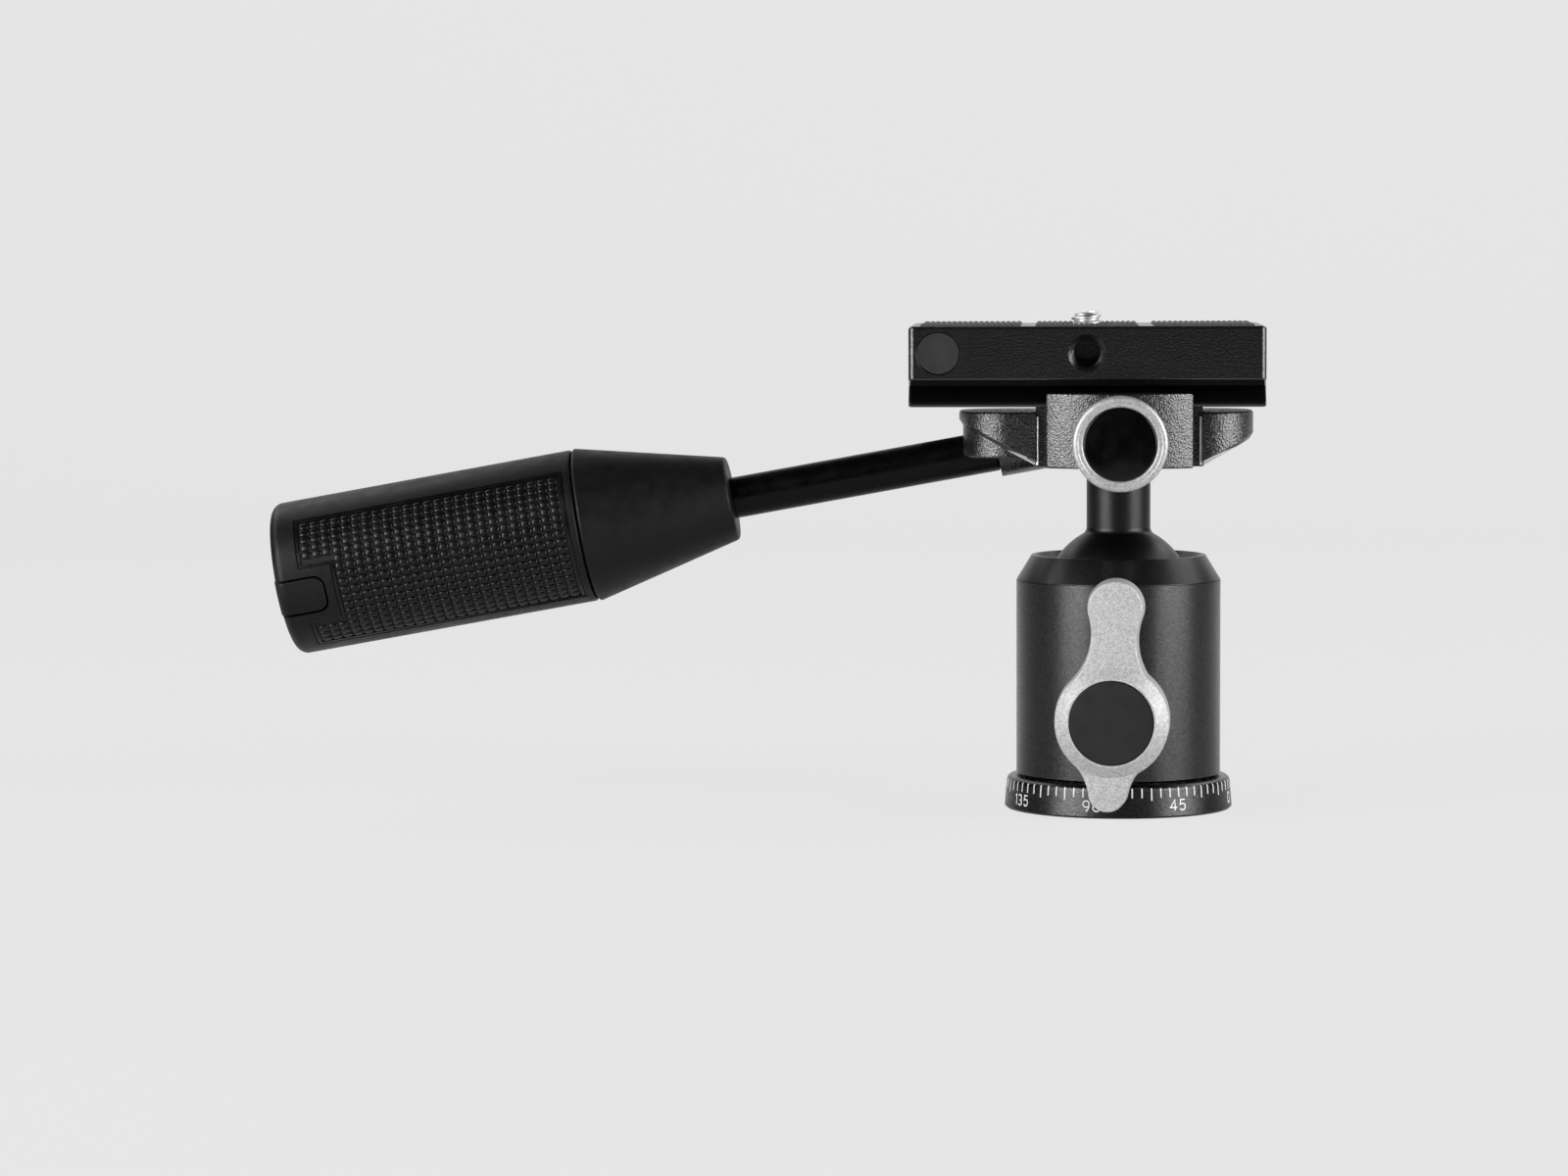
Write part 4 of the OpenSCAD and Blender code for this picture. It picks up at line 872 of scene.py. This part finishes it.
def on_jaw_edge(p):
    front = near(hypot(p.x, p.y - JAW_CENTRE), JAW_CURVE)
    return sum((front, near(abs(p.x), JAW_HW), near(p.z, JAW_TOP), near(p.z, CLAMP_Z))) > 1


def on_tab_skin(p):
    q = HANDLE.inverted() @ p
    return hypot(q.x, q.y) > GRIP_R - TAB_SKIN


wings_from = BLOCK_HW - WING_SLACK
for name, node, body, slot, rules in (
    ("clamp_body", "clamp_base", "clamp", "clamp_black", (
        (0.35, 3, lambda p: near(p.z, WING_TOP) and abs(p.x) > wings_from),
        (WING_CHAMFER, 1, lambda p: near(p.z, slope_height(p.x)) and abs(p.x) > wings_from),
        (0.3, 1, lambda p: near(p.z, LUG_Z) and p.x < -BLOCK_HW - LUG_CLEAR),
    )),
    ("clamp_front_jaw", "clamp_jaw", "jaw", "clamp_black", ((0.35, 3, on_jaw_edge),)),
    ("plate_plug", "side_plug", "plate", "plug_black", ((0.15, 2, lambda p: True),)),
    ("plate_stops", "stop_screws", "plate", "steel", ((0.1, 2, lambda p: True),)),
    ("grip_tab", "storage_plug", "storage", "handle_plastic", ((0.3, 3, on_tab_skin),)),
):
    add_piece(name, eased(node, *rules), body, slot, replaces=[node], shaded=True)

# Machined edges of the clamp's wings: an upright strip beside the jaw and a facet along the slope.
# The left strip is a brighter metal than the right one, as a painted highlight, and the right strip
# and the facets are a light grey that is partly their bare edge and partly a painted reflection
STRIP_LOW, STRIP_HIGH, STRIP_IN, STRIP_DEEP, STRIP_SHALLOW = 0.4, 10.1, 0.1, 0.25, 0.45
LEFT_STRIP, LEFT_FACET, RIGHT_STRIP, RIGHT_FACET = 0.35, 5.6, 0.55, 6.4
FACET_STEPS, FACET_START, FACET_RISE, FACET_SKIN, FACET_ROOT = 14, 0.1, 1.13, 0.03, 0.3


def wing_front(x, length):
    """Depth of a wing's front face at a distance out from the block."""
    out = max(0.0, x - (length - WING_R))
    return WING_HD - WING_R + sqrt(WING_R * WING_R - out * out)


def wing_trim(side, length, strip, facet_len):
    """The strip and the facet of the wing on a side, -1 or 1; the facet narrows to its end."""
    outer = BLOCK_HW - STRIP_IN
    plan = [
        (side * (outer - strip), -BLOCK_HD), (side * outer, -BLOCK_HD),
        (side * outer, STRIP_SHALLOW - WING_HD), (side * (outer - strip), STRIP_DEEP - WING_HD),
    ]
    facet = []
    for k in range(FACET_STEPS + 1):
        x = FACET_START + facet_len * k / FACET_STEPS
        y = wing_front(x, length)
        part = 1 - (k / FACET_STEPS) ** 2 + FACET_SKIN
        low_y, high_y = y - WING_CHAMFER, y - WING_CHAMFER * (1 - part)
        low_z = slope_height(BLOCK_HW + x)
        high_z = low_z + WING_CHAMFER * FACET_RISE * part
        for depth, z in (
            (low_y + FACET_SKIN, low_z - FACET_SKIN), (high_y + FACET_SKIN, high_z - FACET_SKIN),
            (high_y - FACET_ROOT, high_z + FACET_ROOT), (low_y - FACET_ROOT, low_z + FACET_ROOT),
        ):
            facet.append((side * (BLOCK_HW + x), -depth, z))
    upright = prism(plan, CLAMP_Z + STRIP_LOW, CLAMP_Z + STRIP_HIGH)
    return upright, (facet, tube(FACET_STEPS + 1, 4))


left_strip, left_facet = wing_trim(-1, WING_LEN, LEFT_STRIP, LEFT_FACET)
right_strip, right_facet = wing_trim(1, WING_R, RIGHT_STRIP, RIGHT_FACET)
# Painted light: the left strip is a brighter metal than the right strip, and the other trims are a
# light grey that partly paints reflected light
for name, trim, material in (
    ("clamp_bright_trim", left_strip, "bare_edge"),
    ("clamp_dull_trim", joined(left_facet, right_facet, right_strip), "bare_cast"),
):
    add_shell(name, trim, "clamp", "clamp_black", material, angle=TRIM_SHARP)

# Grip: its skin, sunk in two panels, and their pattern of raised pads, left out round the tab
FRAME_AT, FRAME_W, FRAME_STEP, FRAME_LIFTS = 0.5, 0.6, 1.0, (0.27, -0.1)
PAD_COLUMNS, PAD_ROWS, PAD_CORNERS, PAD_SQUARE = 25, 17, 12, 4
# Half width of a pad in pitches and height over the panel's floor, from its foot to its top
PAD_LEVELS = ((0.48, -0.08), (0.465, 0.08), (0.42, 0.24), (0.35, 0.34), (0.25, 0.39))
BACK_PANEL = (STRIP_HALF, 180 - LOW_STRIP_HALF)
FRONT_PANEL = (180 + LOW_STRIP_HALF, 360 - STRIP_HALF)
PANEL_CELL, TOOL_OVER = 2.0, 2.0
TAB_AT, FLOOR_R = STORAGE_TURN + 360, GRIP_R - PANEL_DEPTH
per_degree = GRIP_R * pi / 180


def grip_point(r, degrees, t):
    """Point at a radius, an angle and a distance along the handle."""
    a = radians(degrees)
    return HANDLE @ Vector((r * cos(a), r * sin(a), t))


def panel_tool(panel, round_tab=False):
    """A curved slab over a panel, less the margin round the tab, as cells with shared corners."""
    half = asin((STORAGE_W / 2 + TAB_MARGIN) / GRIP_R) / radians(1)
    stops = [panel[0], TAB_AT - half, TAB_AT + half, panel[1]] if round_tab else list(panel)
    angles = [stops[0]]
    for a, b in zip(stops, stops[1:]):
        steps = max(1, round((b - a) / PANEL_CELL))
        angles += [a + (b - a) * k / steps for k in range(1, steps + 1)]
    levels = [PANEL_START, TAB_START - TAB_MARGIN, PANEL_END]
    wide = len(angles)
    columns, layer = wide - 1, 3 * wide

    def filled(i, j):
        if not (0 <= i < columns and 0 <= j < 2):
            return False
        middle = (angles[i] + angles[i + 1]) / 2
        return not (round_tab and j == 1 and abs(middle - TAB_AT) < half)

    verts = [
        grip_point(r, a, t) for r in (FLOOR_R, GRIP_R + TOOL_OVER) for t in levels for a in angles
    ]
    faces = []
    for i in range(columns):
        for j in range(2):
            if not filled(i, j):
                continue
            a = j * wide + i
            b, c, d = a + 1, a + wide + 1, a + wide
            faces += [[d, c, b, a], [layer + a, layer + b, layer + c, layer + d]]
            for p, q, beside in (
                (a, b, (i, j - 1)), (b, c, (i + 1, j)), (c, d, (i, j + 1)), (d, a, (i - 1, j))
            ):
                if not filled(*beside):
                    faces.append([p, q, layer + q, layer + p])
    return verts, faces


def sleeve():
    """The grip's skin: turned, with the panels sunk and the tab's notch cut through its end."""
    skin = filleted([
        (CORE_R, GRIP_START), (GRIP_R, GRIP_START, SEAM_ROUND), (GRIP_R, GRIP_END, GRIP_ROUND),
        (0, GRIP_END), (0, CORE_END), (CORE_R, CORE_END),
    ], steps=CORNER_STEPS)
    mesh = mesh_of("grip_sleeve", *lathe(skin, HANDLE, count=180))
    mesh = cut(mesh, joined(panel_tool(BACK_PANEL), panel_tool(FRONT_PANEL, True)))
    gap, side = STORAGE_FIT + NOTCH_EXTRA, HANDLE @ turn(STORAGE_TURN, "Z")
    across, end = STORAGE_W / 2 + gap, GRIP_END + TOOL_OVER
    inner, outer = STORAGE_IN - gap, STORAGE_OUT + gap
    chute = [(inner, -across), (outer, -across), (outer, across), (inner, across)]
    mesh = cut(mesh, prism(chute, CORE_END - OVER, end, side))
    low, bend = TAB_START - gap, TAB_ROUND + gap
    outline = [(across, end), (-across, end)]
    outline += arc(bend - across, low + bend, bend, bend, 180, 270, CORNER_STEPS)
    outline += arc(across - bend, low + bend, bend, bend, 270, 360, CORNER_STEPS)
    return cut(mesh, prism(outline, STORAGE_IN, GRIP_R + TOOL_OVER, side @ ALONG_X))


add_piece("grip_sleeve", sleeve(), "handle", "grip_rubber", "grip_skin", replaces=["grip_shell"])


def grip_frame(panel, round_tab=False):
    """A low rim inside a panel's edge and round the tab, along a closed line."""
    low, high = PANEL_START + FRAME_AT, PANEL_END - FRAME_AT
    first, last = panel[0] * per_degree + FRAME_AT, panel[1] * per_degree - FRAME_AT
    corners = [(first, low), (first, high)]
    if round_tab:
        middle, reach = TAB_AT * per_degree, STORAGE_W / 2 + TAB_MARGIN + FRAME_AT
        notch = TAB_START - TAB_MARGIN - FRAME_AT
        corners += [(middle - reach, high), (middle - reach, notch)]
        corners += [(middle + reach, notch), (middle + reach, high)]
    corners += [(last, high), (last, low)]
    line = []
    for i, (s0, t0) in enumerate(corners):
        s1, t1 = corners[(i + 1) % len(corners)]
        steps = max(1, round(hypot(s1 - s0, t1 - t0) / FRAME_STEP))
        line += [(s0 + (s1 - s0) * k / steps, t0 + (t1 - t0) * k / steps) for k in range(steps)]

    def place(s, t, lift):
        return grip_point(FLOOR_R + lift, s / per_degree, t)

    return ribbon(line, FRAME_W, place, closed=True, lifts=FRAME_LIFTS)


def grip_pads(panel):
    """Rows of rounded square pads within a panel's rim."""
    margin_t, margin_a = FRAME_AT + FRAME_W, (FRAME_AT + FRAME_W) / per_degree
    pitch_t = (PANEL_END - PANEL_START - 2 * margin_t) / PAD_COLUMNS
    pitch_a = (panel[1] - panel[0] - 2 * margin_a) / PAD_ROWS
    clear = TAB_MARGIN + FRAME_AT + FRAME_W / 2
    outline = []
    for c in range(PAD_CORNERS):
        a = 2 * pi * (c + 0.5) / PAD_CORNERS
        x, y = cos(a), sin(a)
        size = (abs(x) ** PAD_SQUARE + abs(y) ** PAD_SQUARE) ** (1 / PAD_SQUARE)
        outline.append((x / size, y / size))
    verts, faces = [], []
    for i in range(PAD_COLUMNS):
        t = PANEL_START + margin_t + (i + 0.5) * pitch_t
        for j in range(PAD_ROWS):
            a = panel[0] + margin_a + (j + 0.5) * pitch_a
            off = abs((a - STORAGE_TURN + 180) % 360 - 180) * per_degree
            beside = off < STORAGE_W / 2 + clear + pitch_a * per_degree / 2
            if beside and t + pitch_t / 2 > TAB_START - clear:
                continue
            faces += tube(len(PAD_LEVELS), PAD_CORNERS, first=len(verts))
            for share, lift in PAD_LEVELS:
                verts += [
                    grip_point(FLOOR_R + lift, a + u * share * pitch_a, t + v * share * pitch_t)
                    for u, v in outline
                ]
    return verts, faces


pattern = joined(
    grip_frame(FRONT_PANEL, True), grip_pads(FRONT_PANEL), grip_frame(BACK_PANEL),
    grip_pads(BACK_PANEL),
)
add_shell("grip_pattern", pattern, "handle", "grip_rubber", angle=SOFT_SHARP)

# CAD nodes that keep their shape
slots = {s["node"]: s["material_slot"] for s in frame["record"]["subparts"]}
for name, obj in NODES.items():
    obj.data.materials.clear()
    obj.data.materials.append(MATERIALS[slots[name]])

# Camera: solved from the photo, about a metre away and a little above the plate
PHOTO_W = 1600
CAM_AT = Vector((-10.78, -1000.0, 116.36)) * MM
CAM_YAW, CAM_PITCH, CAM_ROLL, CAM_FOCAL = 0.0576, -0.0714, -0.0034, 4994.2
level = Vector((cos(CAM_YAW), sin(CAM_YAW), 0))
ahead = Vector((-sin(CAM_YAW), cos(CAM_YAW), 0))
forward = ahead * cos(CAM_PITCH) + Vector((0, 0, sin(CAM_PITCH)))
above = level.cross(forward)
right = level * cos(CAM_ROLL) + above * sin(CAM_ROLL)
up = above * cos(CAM_ROLL) - level * sin(CAM_ROLL)
lens = bpy.data.cameras.new("photo_camera")
lens.sensor_fit, lens.sensor_width = "HORIZONTAL", 36.0
lens.lens = CAM_FOCAL / PHOTO_W * lens.sensor_width
lens.clip_start, lens.clip_end = 0.05, 20.0
camera = placed("photo_camera", lens)
camera.matrix_world = move(*CAM_AT) @ Matrix((right, up, -forward)).transposed().to_4x4()
scene.camera = camera

# Stage: a pale sweep that runs from the floor up into the backdrop, in a room that is pale to the
# camera. Both are dimmer to mirrored rays, and the floor takes the shadow of the object
PALE = (0.79, 0.79, 0.79, 1)
GLOW_SHARE, PAPER, ROOM = 0.93, 0.7, 0.012
FLOOR_GLOSS, BACK_GLOSS, ROOM_GLOSS, BACK_FROM, BACK_FULL = 0.15, 0.45, 0.02, 0.15, 0.45
SWEEP_HALF, SWEEP_FRONT, SWEEP_BACK, SWEEP_BEND, SWEEP_TOP = 1.2, -0.5, 0.9, 0.4, 1.5
SWEEP_STEPS = 16


def add_math(tree, kind, a, b, c=0.0):
    """A math node over sockets or plain values."""
    node = add_node(tree, "ShaderNodeMath")
    node.operation = kind
    for slot, value in zip(node.inputs, (a, b, c)):
        if isinstance(value, float):
            slot.default_value = value
        else:
            tree.links.new(value, slot)
    return node.outputs[0]


def ray_mix(owner, output, dim_kind, pale_kind):
    """A mix of a dim and a pale shader, by a share that is still to be linked."""
    owner.use_nodes = True
    tree = owner.node_tree
    tree.nodes.clear()
    out, mix = add_node(tree, output), add_node(tree, "ShaderNodeMixShader")
    dim, pale = add_node(tree, dim_kind), add_node(tree, pale_kind, Color=PALE, Strength=1.0)
    rays = add_node(tree, "ShaderNodeLightPath").outputs
    mirrored = add_math(tree, "MAXIMUM", rays["Is Glossy Ray"], rays["Is Transmission Ray"])
    tree.links.new(dim.outputs[0], mix.inputs[1])
    tree.links.new(pale.outputs[0], mix.inputs[2])
    tree.links.new(mix.outputs["Shader"], out.inputs["Surface"])
    return tree, dim, rays["Is Camera Ray"], mirrored, mix.inputs["Fac"]


paper = bpy.data.materials.new("pale_paper")
tree, plain, seen, mirrored, share = ray_mix(
    paper, "ShaderNodeOutputMaterial", "ShaderNodeBsdfDiffuse", "ShaderNodeEmission"
)
put(plain, Color=(PAPER, PAPER, PAPER, 1))
height = add_node(tree, "ShaderNodeSeparateXYZ")
tree.links.new(add_node(tree, "ShaderNodeNewGeometry").outputs["Position"], height.inputs["Vector"])
gloss = map_range(tree, height.outputs["Z"], (BACK_FROM, BACK_FULL), FLOOR_GLOSS, BACK_GLOSS)
mirrored = add_math(tree, "MULTIPLY", mirrored, gloss)
tree.links.new(add_math(tree, "MULTIPLY_ADD", seen, GLOW_SHARE, mirrored), share)
section = [(SWEEP_FRONT, 0.0), (SWEEP_BACK, 0.0)]
section += [
    (SWEEP_BACK + SWEEP_BEND * s, SWEEP_BEND * (1 - c)) for s, c in quarter(SWEEP_STEPS)[1:]
]
section.append((SWEEP_BACK + SWEEP_BEND, SWEEP_TOP))
n = len(section)
mesh = bpy.data.meshes.new("studio_sweep")
mesh.from_pydata(
    [(x, y, z) for x in (-SWEEP_HALF, SWEEP_HALF) for y, z in section], [],
    [[k, n + k, n + k + 1, k + 1] for k in range(n - 1)],
)
mesh.materials.append(paper)
shade(mesh, SHARP)
floor = placed("studio_sweep", mesh)

world = bpy.data.worlds.new("studio")
tree, room, seen, mirrored, share = ray_mix(
    world, "ShaderNodeOutputWorld", "ShaderNodeBackground", "ShaderNodeBackground"
)
put(room, Color=(1, 1, 1, 1), Strength=ROOM)
tree.links.new(add_math(tree, "MULTIPLY_ADD", mirrored, ROOM_GLOSS, seen), share)
scene.world = world

# Light: a box at each side of the camera, the left one a little brighter for its size, and a dimmer
# one behind each, at degrees right of the camera's side and above level; metres and watts
HEAD_AT = Vector((0, 0, 0.06))
for name, azimuth, rise, far, width, height, watts in (
    ("left_box", -50, 14, 1.44, 0.864, 1.12, 32.3),
    ("right_box", 65, 12, 1.44, 1.024, 1.12, 35.3),
    ("left_wing_box", -118, 40, 1.00, 0.90, 0.40, 2.6),
    ("right_wing_box", 118, 40, 1.00, 0.90, 0.40, 3.2),
):
    a, e = radians(azimuth), radians(rise)
    out = Vector((sin(a) * cos(e), -cos(a) * cos(e), sin(e)))
    light = bpy.data.lights.new(name, "AREA")
    light.shape, light.size, light.size_y, light.energy = "RECTANGLE", width, height, watts
    lamp = placed(name, light)
    lamp.location = HEAD_AT + far * out
    lamp.rotation_euler = (-out).to_track_quat("-Z", "Y").to_euler()
